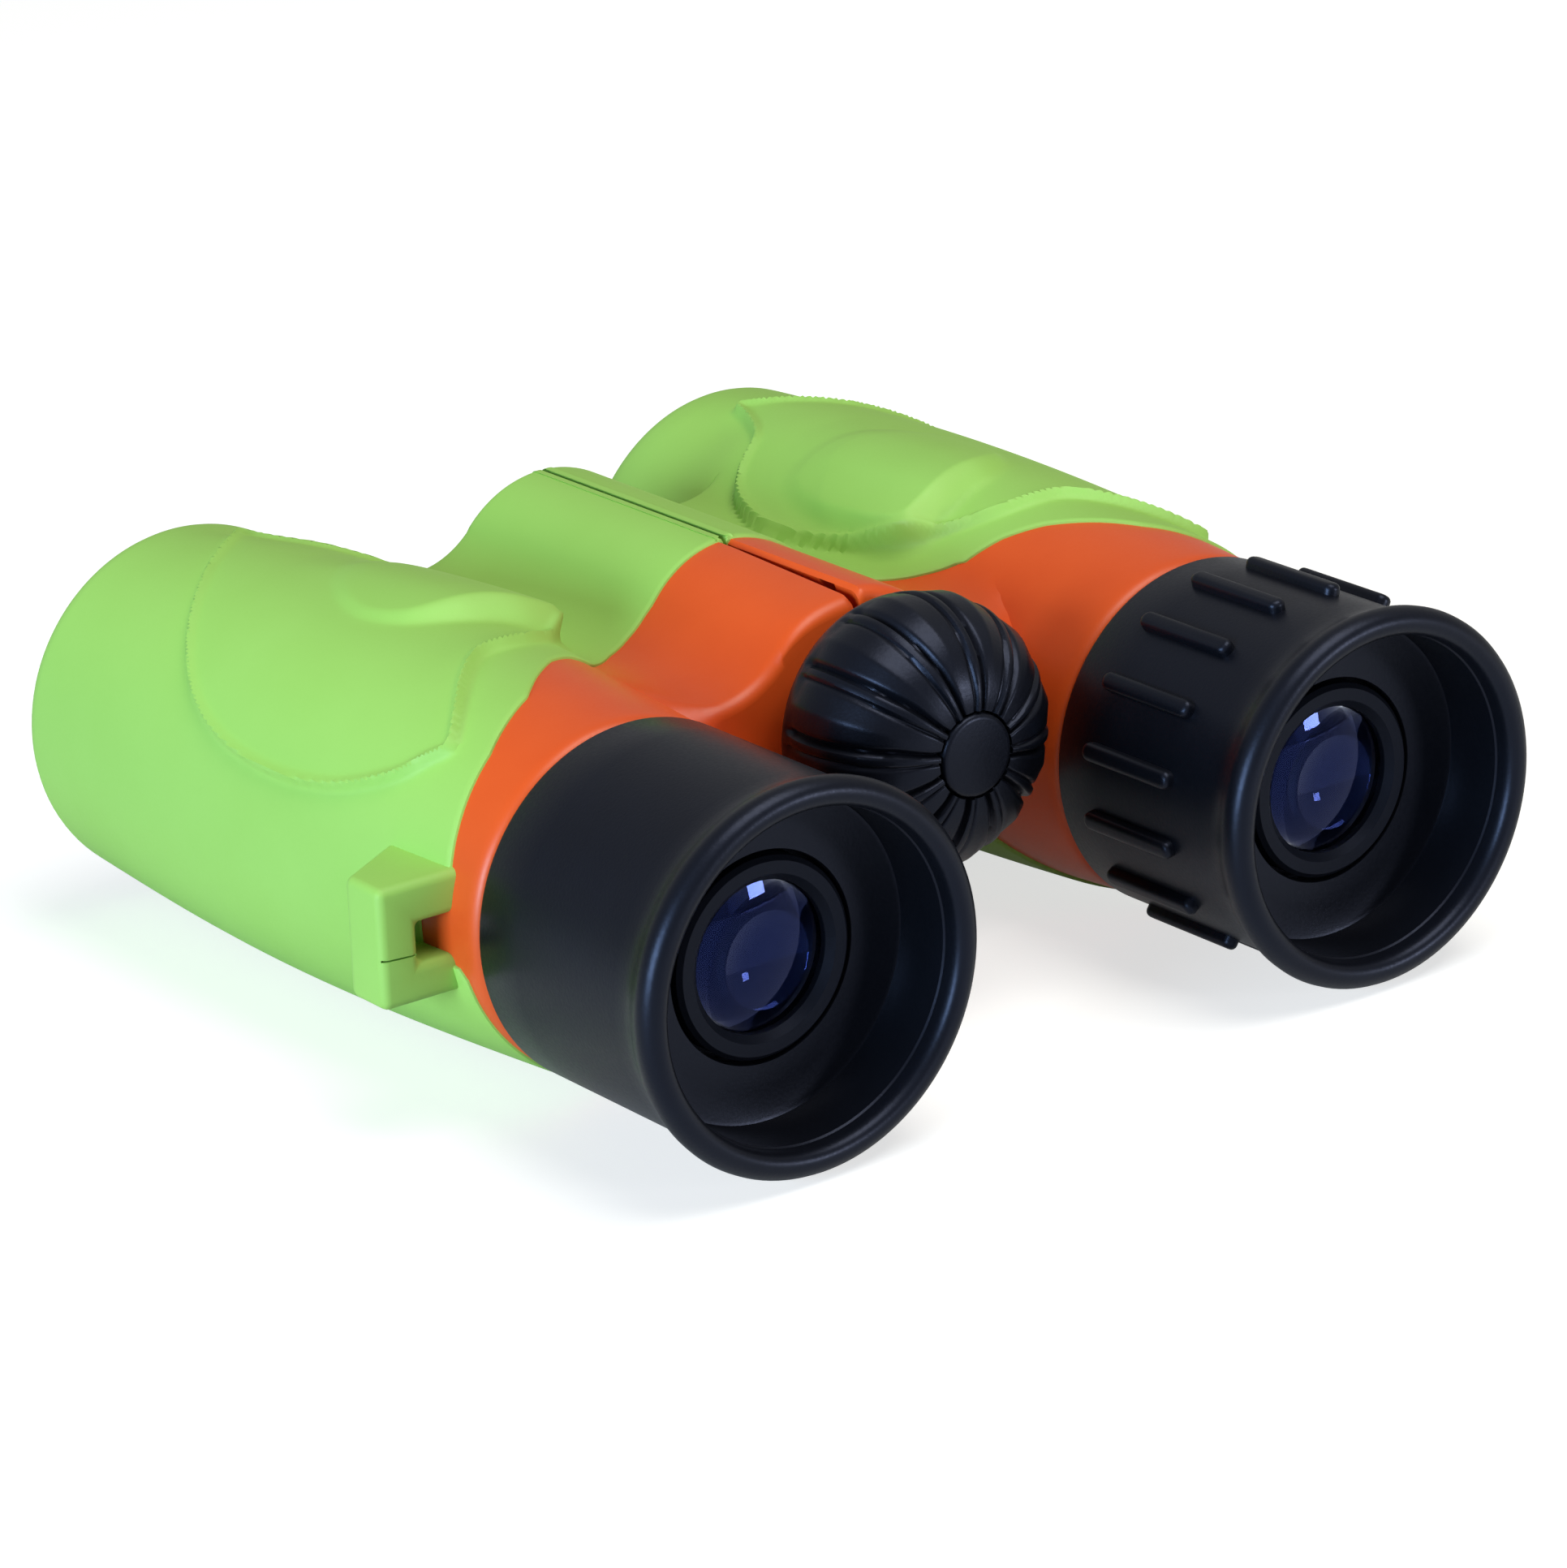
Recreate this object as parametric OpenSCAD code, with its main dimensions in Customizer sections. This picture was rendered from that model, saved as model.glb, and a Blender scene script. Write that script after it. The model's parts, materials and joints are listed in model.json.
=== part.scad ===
// Toy binoculars: two barrels on a middle hinge, rubber armour over a plastic casing,
// rubber eyecups, and a focus knob behind the bridge that drives both objectives.
// Millimetres. +Y runs from the eyecups to the objectives, +Z is up.
// The origin lies under the middle of the body, on the level of its lowest point.

/* [Body] */
// distance between the two optical axes with the body opened flat
axis_gap = 62; // [60.5:0.5:65]
// height of the hinge line above the optical axes
hinge_rise = 7.3; // [6.6:0.1:8]
// length from the eyecup rims to the front ends
body_length = 98; // [97:0.5:106]
// barrel radius at the casing shoulder
shoulder_radius = 16.1; // [15.9:0.05:16.4]
// largest barrel radius
belly_radius = 17.8; // [17.4:0.1:18.4]
// distance of the largest radius from the casing shoulder
belly_set = 40; // [36:0.5:44]
// barrel radius behind the rounded front edge
front_radius = 16.7; // [16.4:0.1:17.2]
// rounding of the front edge
front_round = 2.8; // [2:0.1:3]
// radius of the bore along each barrel casing
barrel_bore = 13.5; // [13.3:0.05:13.7]

/* [Armour] */
// thickness of the rubber armour
armour_wall = 1.2; // [0.8:0.1:1.4]
// depth of the bare casing surface below the armour surface
armour_step = 0.3; // [0.15:0.05:0.5]
// thickness of the armour lip over the front end
front_lip = 2.4; // [1.6:0.1:3]
// armour edge on the outer side, from the rims, at the height of the optical axes
border_side = 28.8; // [28:0.2:30]
// armour edge at the bridge seam, from the rims, at the height of the optical axes
border_mid = 47.2; // [44:0.2:49]
// slope of the armour edge, forward as it climbs
border_tilt = 15; // [10:1:20]
// gap between the armour edge and the casing step
border_gap = 0.1; // [0.05:0.05:0.2]

/* [Thumb pads] */
// turn of the thumb pad from the top of the barrel towards the hinge
pad_turn = 24; // [18:1:30]
// distance of the pad's own axis from the optical axis
pad_offset = 6; // [5.4:0.2:6.6]
// largest pad radius about its own axis
pad_radius = 13.4; // [13:0.1:13.8]
// pad radius at its two ends
pad_end_radius = 10.4; // [9.6:0.2:10.8]
// distance of the pad's middle from the casing shoulder
pad_set = 38; // [36:0.5:41]
// length of the thumb pad
pad_length = 31; // [27:0.5:33]

/* [Strap lugs] */
// distance of the lug's outer face from the optical axis
lug_reach = 23; // [22.4:0.1:24]
// height of the lug
lug_height = 10; // [9:0.2:11]
// distance of the lug's rear face from the casing shoulder
lug_set = 3.5; // [3:0.1:5]
// length of the lug's outer face
lug_length = 6.6; // [6:0.2:8]
// length of the lug where it meets the barrel
lug_foot = 10.2; // [9.2:0.2:12]
// thickness of the armour over the lug core
lug_skin = 1.3; // [1:0.1:1.4]
// width of the strap slot
slot_width = 3.1; // [2.6:0.1:3.3]
// height of the strap slot
slot_height = 3.6; // [3:0.1:4]
// distance of the slot's inner face from the optical axis
slot_set = 17; // [16.9:0.1:17.4]

/* [Bridge] */
// distance of the bridge's rear face from the casing shoulder
bridge_set = 8; // [7:0.5:9]
// length of the bridge
bridge_length = 48; // [46:0.5:52]
// radius of the bridge hump about the hinge line
hump_radius = 11.4; // [11:0.1:12]
// radius of the hollows between the hump and the barrels
valley_radius = 10; // [8:0.5:12]
// drop of the left half's seam edge at the rear of the bridge
seam_drop = 1.3; // [0.6:0.1:1.5]
// length over which that edge drops
seam_slope = 17; // [12:0.5:20]
// gap of the closed seam between the two armours on top of the hump
seam_gap = 0.4; // [0.3:0.05:0.6]
// gap between the two bare casings behind the armours
casing_gap = 0.9; // [0.6:0.05:1.2]
// slanted edge of the bare casings along that gap
seam_edge = 0.4; // [0.2:0.05:0.6]
// travel of the right half about the hinge
fold_angle = 50; // [40:1:54]
// opening left under the hinge on each side at full fold
fold_margin = 2.5; // [2:0.5:4]
// thickness of the bridge's rear wall
rear_wall = 2; // [1.6:0.1:2.4]
// thickness of the bridge's front wall
front_wall = 2.6; // [2.2:0.1:3]

/* [Hinge] */
// outer radius of the hinge tube
tube_radius = 5; // [4.9:0.05:5.1]
// wall of the hinge tube
tube_wall = 1.4; // [1.3:0.05:1.45]
// outer radius of the hinge knuckles
knuckle_radius = 8; // [7.9:0.05:8.2]
// gap around and between the hinge knuckles
knuckle_gap = 0.4; // [0.3:0.05:0.5]
// radius of the cap in the front of the hinge
cap_radius = 5.6; // [5.2:0.1:6]

/* [Eyepieces] */
// length of the eyecup sleeves from the rim to the casing shoulder
sleeve_length = 26; // [25:0.5:27]
// outer radius of the eyecup sleeves
sleeve_radius = 16; // [15.8:0.05:16.2]
// outer radius of the rolled rim
rim_radius = 17.15; // [16.8:0.05:17.5]
// radius of the roll of the rim
rim_roll = 1.4; // [1.2:0.05:1.5]
// radius of the hollow of the cup
cup_radius = 14.5; // [14.3:0.05:14.7]
// depth of the cup from the rim to the eye lens
cup_depth = 8; // [7:0.25:9]
// thickness of the cup's floor
cup_floor = 1.3; // [1:0.1:1.4]
// outer radius of the eyepiece tube
eye_tube_radius = 11; // [10.8:0.05:11.1]
// wall of the eyepiece tube
eye_tube_wall = 2.3; // [2:0.1:2.5]
// length of the eyepiece tube
eye_tube_length = 21.6; // [20.5:0.2:22.4]
// wall of the casing neck inside the sleeve
neck_wall = 1.9; // [1.7:0.05:2]
// wall of the ring under the rubber sleeve
core_wall = 1.5; // [1.3:0.05:1.6]
// height of the lens ring above the cup's floor
ring_stand = 0.5; // [0.2:0.1:0.8]
// depth of the eye lens's edge behind the face of its ring
lens_recess = 1.4; // [1:0.1:1.6]
// radius of the eye lens seen in its ring
eye_lens_radius = 6.6; // [6.2:0.1:7]
// outer radius of the ring that holds the eye lens
eye_ring_radius = 8.8; // [8.5:0.1:9.2]
// bulge of the eye lens
eye_lens_bulge = 0.8; // [0.5:0.1:1.1]
// travel of the right eyepiece each way from its middle
dioptre_travel = 1; // [0.6:0.1:1.2]
// distance of the ribs from the rim
rib_set = 10; // [9:0.25:11]
// number of ribs on the right sleeve
rib_count = 16; // [12:1:20]
// length of the ribs
rib_length = 11.5; // [9:0.5:12.5]
// radius of the ribs
rib_radius = 1; // [0.7:0.05:1.1]

/* [Focusing] */
// largest radius of the focus knob
knob_radius = 12.5; // [11.5:0.1:13]
// length of the focus knob
knob_length = 13.1; // [12.5:0.1:14]
// length of the knob's dome
dome_length = 8.8; // [8:0.1:9.6]
// radius of the knob's front edge
knob_edge_radius = 11.2; // [10.6:0.1:11.4]
// length of the hub between the knob and the bridge
knob_stand = 2.7; // [2:0.1:3.4]
// gap between the knob's hub and the bridge
knob_gap = 0.6; // [0.4:0.1:0.9]
// radius of the flat end of the knob
knob_flat = 3.8; // [3.4:0.1:4.4]
// number of grooves around the knob
groove_count = 14; // [10:1:16]
// width of a knob groove
groove_width = 0.9; // [0.6:0.1:1.2]
// depth of a knob groove
groove_depth = 0.7; // [0.4:0.1:0.9]
// radius of the hub inside the knob
hub_radius = 7; // [6.4:0.1:7.6]
// radius of the focus spindle
spindle_radius = 1.9; // [1.7:0.05:2]
// travel of the objectives each way from their middle
focus_travel = 2; // [1.5:0.1:2.2]
// length of the sliding collar on the hinge tube
collar_length = 7; // [6.6:0.1:7.2]
// outer radius of the sliding collar
collar_radius = 7.4; // [7.2:0.05:7.6]
// depth of the two grooves in the collar
collar_groove = 1.2; // [1:0.05:1.3]
// thickness of the focus arms along the body
arm_thick = 2; // [1.6:0.1:2.1]
// width of the focus arms
arm_width = 5; // [4:0.2:6]
// radius of the two pins between the nut and the collar
pin_radius = 0.8; // [0.6:0.05:0.9]

/* [Objectives] */
// radius of the open mouth at the front of each barrel
mouth_radius = 12; // [11.6:0.1:12.3]
// depth of the mouth ring
mouth_depth = 5; // [4:0.25:6]
// length of the lens pocket's ledge behind the objective lens
cell_ledge = 1; // [0.8:0.1:1.5]
// wall of the objective cell around its lens
cell_wall = 2.4; // [2.2:0.1:2.7]
// thickness of the objective lens at its edge
objective_edge = 3; // [2.4:0.1:3.6]
// bulge of the front of the objective lens
objective_bulge = 1.4; // [0.8:0.1:1.8]
// width and height of the prism block
prism_width = 14; // [12:0.5:15]

/* [Fits] */
// radial gap of pieces that turn or slide in each other
slide_fit = 0.08; // [0.05:0.01:0.1]
// gap of pieces that are fixed in each other
seat_fit = 0.05; // [0.03:0.01:0.06]
// gap between faces that pass each other
turn_gap = 0.4; // [0.3:0.05:0.5]

/* [Hidden] */
$fn = 64;
lens_fn = 256;
steps = 5;
reach = 120;
cut_over = 1;
axis_height = belly_radius;

// places along the body, from the eyecup rims
shoulder_y = sleeve_length;
bridge_y = shoulder_y + bridge_set;
bridge_end_y = bridge_y + bridge_length;
belly_y = shoulder_y + belly_set;
pad_y = shoulder_y + pad_set;
lug_y = shoulder_y + lug_set;
front_y = body_length;
casing_front_y = front_y - front_lip;
shoulder_wall = 3;
shoulder_edge = 1.2;
shoulder_chamfer = 0.5;
bore_y = shoulder_y + shoulder_wall;

// the line from the hinge to an optical axis, and the centres of the hollows beside it
span = sqrt(pow(axis_gap / 2, 2) + pow(hinge_rise, 2));
droop = atan2(hinge_rise, axis_gap / 2);
blend = 0.2;
hump_tangent = hump_radius - blend + valley_radius;
barrel_tangent = shoulder_radius + valley_radius;
valley_along = (pow(hump_tangent, 2) - pow(barrel_tangent, 2) + pow(span, 2)) / (2 * span);
valley_off = sqrt(pow(hump_tangent, 2) - pow(valley_along, 2));
hinge_open = fold_angle / 2 + fold_margin;

// the lens pocket of an objective cell, from the front
bezel_y = front_y - mouth_depth;
bezel_gap = 0.8;
cell_end_y = bezel_y - focus_travel - bezel_gap;
ring_thick = 1.4;
ring_set = 0.2;
ring_wall = 0.8;
lens_gap = 0.3;
objective_rear = 0.5;
ring_y = cell_end_y - ring_set - ring_thick;
objective_y = ring_y - lens_gap - objective_bulge - objective_edge - objective_rear;

// the hinge: four knuckles, left and right in turn, then the room of the focus arms,
// which lies as far forward as the bridge's front wall and the lens pockets let it
arm_slack = 0.7;
arm_room = collar_length + 2 * focus_travel + 2 * arm_slack;
groove_side = 0.1;
groove_mid = 1.35;
socket_half = groove_mid + arm_thick / 2;
collar_y = min(
  bridge_end_y - front_wall - arm_room / 2,
  objective_y - cell_ledge - socket_half
);
arm_y = collar_y - arm_room / 2;
arm_end_y = collar_y + arm_room / 2;
knuckle_y = bridge_y + rear_wall;
knuckle_pitch = (arm_y - knuckle_y) / 4;
left_knuckles = [0, 2];
right_knuckles = [1, 3];
hinge_cavity = knuckle_radius + knuckle_gap;
tube_bore = tube_radius - tube_wall;
pass_gap = 0.6;

// focusing pieces
groove_radius = collar_radius - collar_groove;
left_arm_y = collar_y + groove_mid;
right_arm_y = collar_y - groove_mid;
arm_slot_height = arm_width + 2 * turn_gap;
arm_reach = 12.2;
nut_radius = tube_bore - slide_fit;
nut_length = collar_length;
pin_inner = spindle_radius + pass_gap;
pin_sink = 0.2;
pin_outer = groove_radius - pin_sink;
fork_grip = 0.8;
hub_end_y = bridge_y - knob_gap;
knob_end_y = hub_end_y - knob_stand;
knob_y = knob_end_y - knob_length;
base_steps = 4;
dome_steps = 8;
groove_stop = 2.4;
flat_depth = 2;
flange_gap = 0.5;
flange_radius = tube_bore - flange_gap;
flange_y = knuckle_y + flange_gap;
flange_thick = 0.8;
bushing_gap = 0.2;
bushing_y = flange_y + flange_thick + bushing_gap;
bushing_length = 5;
clip_y = bushing_y + bushing_length + bushing_gap;
spindle_y = knob_y + flat_depth + turn_gap;
spindle_end_y = arm_end_y - bezel_gap;
tube_play = 0.1;
cap_edge = 0.5;
cap_stand = 0.7;

// objective pieces
cell_radius = barrel_bore - slide_fit;
pocket_radius = cell_radius - cell_wall;
cell_y = collar_y - socket_half - cell_ledge;
lens_seat = 1;
objective_radius = pocket_radius - seat_fit;
bezel_recess = 0.5;
bezel_flare = 0.6;

// eyepiece pieces
neck_bore = eye_tube_radius + slide_fit;
neck_radius = neck_bore + neck_wall;
core_bore = neck_radius + slide_fit;
core_radius = core_bore + core_wall;
sleeve_bore = core_radius + seat_fit;
sleeve_end_y = shoulder_y - turn_gap;
sleeve_edge = 0.4;
floor_y = cup_depth - lens_gap;
core_y = floor_y + cup_floor + seat_fit;
core_lip = 1;
neck_y = core_y + core_lip + turn_gap;
plate_y = floor_y + cup_floor + dioptre_travel + turn_gap;
plate_thick = 2;
eye_tube_end_y = plate_y + eye_tube_length;
eye_tube_bore = eye_tube_radius - eye_tube_wall;
eye_ring_y = floor_y - ring_stand;
eye_lens_y = eye_ring_y + lens_recess;
eye_lens_rear = 0.3;
ring_flare = 0.7;
ring_chamfer = 0.6;
ring_edge = 0.4;
lens_trim = 0.01;
rim_y = rim_roll;
rim_centre = rim_radius - rim_roll;
flare_length = 2.4;
rib_steps = 3;
rib_tip = 25;
rib_end_y = rib_set + rib_length;
field_lens_edge = 2.2;
field_lens_rear = 0.4;
field_lens_bulge = 1;
stop_thick = 1;
stop_gap = 1.4;
field_lens_y = eye_tube_end_y - stop_thick - stop_gap - field_lens_bulge - field_lens_edge;
stop_open = 2.2;

// prism pieces
cage_y = eye_tube_end_y + dioptre_travel + turn_gap;
cage_end_y = cell_y - focus_travel - turn_gap;
prism_inset = 1.5;
prism_short = 7.5;
prism_slant = 6;
prism_air = 0.6;

// strap lug: how far its root runs into the barrel, and where its front slant ends
lug_root = 12;
lug_slant = 16;

orange = [0.89, 0.38, 0.17];
green = [0.61, 0.87, 0.44];
black = [0.11, 0.11, 0.14];
glass = [0.6, 0.7, 0.9];
steel = [0.7, 0.7, 0.72];
brass = [0.8, 0.65, 0.3];

// the frame of the whole body: middle of the length at 0, lowest point at 0
module place(tint) {
  color(tint)
    translate([0, -body_length / 2, axis_height])
      children();
}

// a piece built for the left barrel, set on the right one
module right() {
  mirror([1, 0, 0])
    children();
}

module at_barrel() {
  translate([-axis_gap / 2, 0, 0])
    children();
}

module at_hinge() {
  translate([0, 0, hinge_rise])
    children();
}

// local -X runs from the hinge line to the optical axis
module toward_barrel() {
  at_hinge()
    rotate([0, -droop, 0])
      children();
}

// a solid of revolution about Y from a profile of [radius, y] points
module turned(profile) {
  rotate([-90, 0, 0])
    rotate_extrude()
      polygon(profile);
}

module pipe(outer, inner, y0, y1) {
  turned([[inner, y0], [outer, y0], [outer, y1], [inner, y1]]);
}

module rod(radius, y0, y1) {
  pipe(radius, 0, y0, y1);
}

// an X-Z section drawn out along Y
module along_y(y0, y1) {
  translate([0, y1, 0])
    rotate([90, 0, 0])
      linear_extrude(height = y1 - y0)
        children();
}

// barrel radius: it swells from the shoulder to the belly and narrows to the front
function swell(t) = shoulder_radius + (belly_radius - shoulder_radius) * sin(90 * t);
function narrow(t) = belly_radius - (belly_radius - front_radius) * (1 - cos(90 * t));
rear_start = shoulder_y + shoulder_edge;
front_start = front_y - front_round;

function long_profile(s) = concat(
  [for (i = [0:steps]) [swell(i / steps) - s, rear_start + (belly_y - rear_start) * i / steps]],
  [for (i = [1:steps]) [narrow(i / steps) - s, belly_y + (front_start - belly_y) * i / steps]]
);

// the barrel's outer form with its rounded front edge
module barrel_form() {
  at_barrel()
    turned(concat(
      [[0, shoulder_y], [shoulder_radius - shoulder_chamfer, shoulder_y]],
      long_profile(0),
      [for (i = [1:steps]) [
        front_radius - front_round + front_round * cos(90 * i / steps),
        front_start + front_round * sin(90 * i / steps)
      ]],
      [[0, front_y]]
    ));
}

// the same form lying s deeper, from y0 to the front of the casing
module barrel_core(s, y0) {
  at_barrel()
    intersection() {
      turned(concat(
        [[0, y0], [shoulder_radius - shoulder_chamfer - s, y0]],
        long_profile(s),
        [[0, front_start]]
      ));
      rod(reach, 0, casing_front_y);
    }
}

// the web between the hump and a barrel, with a round hollow above and below
module web_2d(s) {
  translate([0, hinge_rise])
    rotate(droop)
      difference() {
        polygon([[0, 0], [-valley_along, valley_off], [-span, 0], [-valley_along, -valley_off]]);
        for (side = [-1, 1])
          translate([-valley_along, side * valley_off])
            circle(valley_radius + s);
      }
}

module bridge(s) {
  along_y(bridge_y + max(0, s - armour_step), bridge_end_y - s) {
    translate([0, hinge_rise])
      circle(hump_radius - s);
    web_2d(s);
  }
}

// the left half's share of the space around the hinge line, beside a seam of that gap
module left_share(gap) {
  along_y(0, front_y)
    polygon([
      [-gap / 2, hinge_rise],
      [-gap / 2, reach],
      [-reach, reach],
      [-reach, -reach],
      [-gap / 2 - (reach + hinge_rise) * tan(hinge_open), -reach]
    ]);
}

// the space behind the armour's rear edge, where the casing is bare
border_reach = 42;
border_power = 0.62;
border_step = 3;
function border(x) =
  border_side + (border_mid - border_side)
  * pow(0.5 + 0.5 * cos(180 * min(abs(x) / border_reach, 1)), border_power);

module bare_zone(extra) {
  rotate([-border_tilt, 0, 0])
    translate([0, 0, -reach / 2])
      linear_extrude(height = reach)
        polygon(concat(
          [[-reach, 0], [-reach, (border_side + extra) * cos(border_tilt)]],
          [for (x = [-border_reach:border_step:0]) [x, (border(x) + extra) * cos(border_tilt)]],
          [[reach, (border_mid + extra) * cos(border_tilt)], [reach, 0]]
        ));
}

// strap lug beside the barrel, lying s inside its outer form
module lug(s) {
  at_barrel()
    translate([0, lug_y, -lug_height / 2 + s])
      linear_extrude(height = lug_height - 2 * s)
        polygon([
          [-lug_root, s],
          [s - lug_reach, s],
          [s - lug_reach, lug_length - s],
          [-lug_slant, lug_foot - s],
          [-lug_root, lug_foot - s]
        ]);
}

module strap_slot() {
  at_barrel()
    translate([-slot_set - slot_width, lug_y - cut_over, -slot_height / 2])
      cube([slot_width, lug_foot + 2 * cut_over, slot_height]);
}

module thumb_pad() {
  at_barrel()
    rotate([0, pad_turn, 0])
      translate([0, pad_y, pad_offset])
        turned(concat(
          [[0, -pad_length / 2]],
          [for (i = [-steps:steps]) [
            pad_end_radius + (pad_radius - pad_end_radius) * cos(90 * i / steps),
            pad_length / 2 * i / steps
          ]],
          [[0, pad_length / 2]]
        ));
}

module left_armour_form() {
  difference() {
    intersection() {
      difference() {
        union() {
          barrel_form();
          bridge(0);
          thumb_pad();
          lug(0);
        }
        union() {
          barrel_core(armour_wall, shoulder_y - cut_over);
          bridge(armour_wall);
        }
        bare_zone(border_gap);
      }
      left_share(seam_gap);
    }
    lug(lug_skin - seat_fit);
    strap_slot();
    at_barrel()
      rod(barrel_bore, bezel_y - cut_over, front_y + cut_over);
    at_hinge()
      rod(cap_radius + turn_gap, arm_end_y, bridge_end_y + cut_over);
  }
}

// the span of one knuckle, gap in from its share of the hinge
module knuckle(i, radius, gap) {
  at_hinge()
    rod(radius, knuckle_y + i * knuckle_pitch + gap, knuckle_y + (i + 1) * knuckle_pitch - gap);
}

// the slope of the left half's top towards the rear of the seam
module seam_cut() {
  top = hinge_rise + hump_radius - armour_step;
  translate([-hump_radius, 0, 0])
    rotate([90, 0, 90])
      linear_extrude(height = hump_radius)
        polygon([
          [bridge_y - seam_slope, top - 2 * seam_drop],
          [bridge_y + seam_slope, top],
          [bridge_y + seam_slope, top + hump_radius],
          [bridge_y - seam_slope, top + hump_radius]
        ]);
}

// the slanted edge of a bare casing along the seam
module seam_bevel() {
  top = hinge_rise + hump_radius - armour_step;
  along_y(bridge_y - cut_over, arm_end_y)
    polygon([
      [-casing_gap / 2 - seam_edge, top],
      [-casing_gap / 2, top - seam_edge],
      [0, top - seam_edge],
      [0, top + seam_edge],
      [-casing_gap / 2 - seam_edge, top + seam_edge]
    ]);
}

// one half's casing with its own knuckles, built on the left
module casing_form(own, other, hinge_bore, cap_bore) {
  difference() {
    union() {
      intersection() {
        union() {
          barrel_core(armour_wall + seat_fit, shoulder_y);
          bridge(armour_wall + seat_fit);
          lug(lug_skin);
          intersection() {
            union() {
              barrel_core(armour_step, shoulder_y);
              bridge(armour_step);
            }
            bare_zone(0);
          }
        }
        left_share(casing_gap);
      }
      at_barrel()
        rod(neck_radius, neck_y, shoulder_y + cut_over);
      for (i = own)
        knuckle(i, knuckle_radius, knuckle_gap);
    }
    at_barrel()
      rod(barrel_bore, bore_y, front_y);
    at_barrel()
      rod(neck_bore, 0, bore_y + cut_over);
    for (i = other)
      knuckle(i, hinge_cavity, 0);
    at_hinge()
      rod(hinge_cavity, arm_y, arm_end_y);
    at_hinge()
      rod(hinge_bore, knuckle_y, arm_end_y);
    at_hinge()
      rod(spindle_radius + pass_gap, 0, knuckle_y + cut_over);
    at_hinge()
      rod(cap_bore, arm_end_y - cut_over, front_y);
    toward_barrel()
      translate([arm_reach - span, arm_y, -arm_slot_height / 2])
        cube([span - arm_reach - groove_radius, arm_room, arm_slot_height]);
    strap_slot();
    seam_bevel();
  }
}

// rubber eyecup: rolled rim, cup wall, floor, and the sleeve around its core
module eyecup_form() {
  at_barrel()
    turned(concat(
      [
        [sleeve_bore, sleeve_end_y],
        [sleeve_radius - sleeve_edge, sleeve_end_y],
        [sleeve_radius, sleeve_end_y - sleeve_edge],
        [sleeve_radius, rim_y + flare_length],
        [(sleeve_radius + rim_radius) / 2, rim_y + flare_length / 3]
      ],
      [for (i = [0:2 * steps]) [
        rim_centre + rim_roll * cos(90 * i / steps),
        rim_y - rim_roll * sin(90 * i / steps)
      ]],
      [
        [cup_radius, rim_y + flare_length],
        [cup_radius, floor_y],
        [eye_ring_radius + turn_gap, floor_y],
        [eye_ring_radius + turn_gap, floor_y + cup_floor],
        [sleeve_bore, floor_y + cup_floor]
      ]
    ));
}

// a long rib with round ends
function rib_half(i) = rib_radius * sin(rib_tip + (90 - rib_tip) * i / rib_steps);
function rib_slope(i) = rib_radius * (1 - cos(90 * i / rib_steps));

module rib() {
  turned(concat(
    [[0, rib_set]],
    [for (i = [0:rib_steps]) [rib_half(i), rib_set + rib_slope(i)]],
    [for (i = [rib_steps:-1:0]) [rib_half(i), rib_end_y - rib_slope(i)]],
    [[0, rib_end_y]]
  ));
}

// ring under the rubber sleeve, with a lip behind the casing neck
module cup_core_form() {
  at_barrel()
    turned([
      [core_bore, sleeve_end_y],
      [core_radius, sleeve_end_y],
      [core_radius, core_y],
      [eye_tube_radius + turn_gap, core_y],
      [eye_tube_radius + turn_gap, core_y + core_lip],
      [core_bore, core_y + core_lip]
    ]);
}

module eye_tube_form() {
  at_barrel()
    turned([
      [eye_lens_radius + seat_fit, plate_y],
      [eye_tube_radius, plate_y],
      [eye_tube_radius, eye_tube_end_y],
      [eye_tube_bore, eye_tube_end_y],
      [eye_tube_bore, plate_y + plate_thick],
      [eye_lens_radius + seat_fit, plate_y + plate_thick]
    ]);
}

module eye_ring_form() {
  at_barrel()
    turned([
      [eye_lens_radius + seat_fit, eye_ring_y + ring_chamfer],
      [eye_lens_radius + ring_flare, eye_ring_y],
      [eye_ring_radius - ring_edge, eye_ring_y],
      [eye_ring_radius, eye_ring_y + ring_edge],
      [eye_ring_radius, plate_y],
      [eye_lens_radius + seat_fit, plate_y]
    ]);
}

// a lens with its thick middle: rear bulge, edge, front bulge
function cap_radius_of(bulge, radius) = (pow(radius, 2) + pow(bulge, 2)) / (2 * bulge);

module lens(radius, edge_y, edge, rear_bulge, front_bulge) {
  rear_r = cap_radius_of(rear_bulge, radius);
  front_r = cap_radius_of(front_bulge, radius);
  rotate([-90, 0, 0])
    rotate_extrude()
      intersection() {
        translate([0, edge_y - rear_bulge + rear_r])
          circle(rear_r, $fn = lens_fn);
        translate([0, edge_y + edge + front_bulge - front_r])
          circle(front_r, $fn = lens_fn);
        translate([0, edge_y - rear_bulge])
          square([radius - lens_trim, edge + rear_bulge + front_bulge]);
      }
}

module eye_lens_form() {
  edge = plate_y + plate_thick - turn_gap - eye_lens_y;
  at_barrel()
    lens(eye_lens_radius, eye_lens_y, edge, eye_lens_bulge, eye_lens_rear);
}

module field_lens_form() {
  at_barrel()
    lens(eye_tube_bore - seat_fit, field_lens_y, field_lens_edge, field_lens_rear, field_lens_bulge);
}

module field_stop_form() {
  outer = eye_tube_bore - seat_fit;
  at_barrel()
    pipe(outer, eye_tube_bore - stop_open, eye_tube_end_y - stop_thick, eye_tube_end_y);
}

module prism_cage_form() {
  at_barrel()
    difference() {
      rod(barrel_bore - seat_fit, cage_y, cage_end_y);
      translate([0, (cage_y + cage_end_y) / 2, 0])
        cube([prism_width + 2 * seat_fit, reach, prism_width + 2 * seat_fit], center = true);
    }
}

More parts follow.
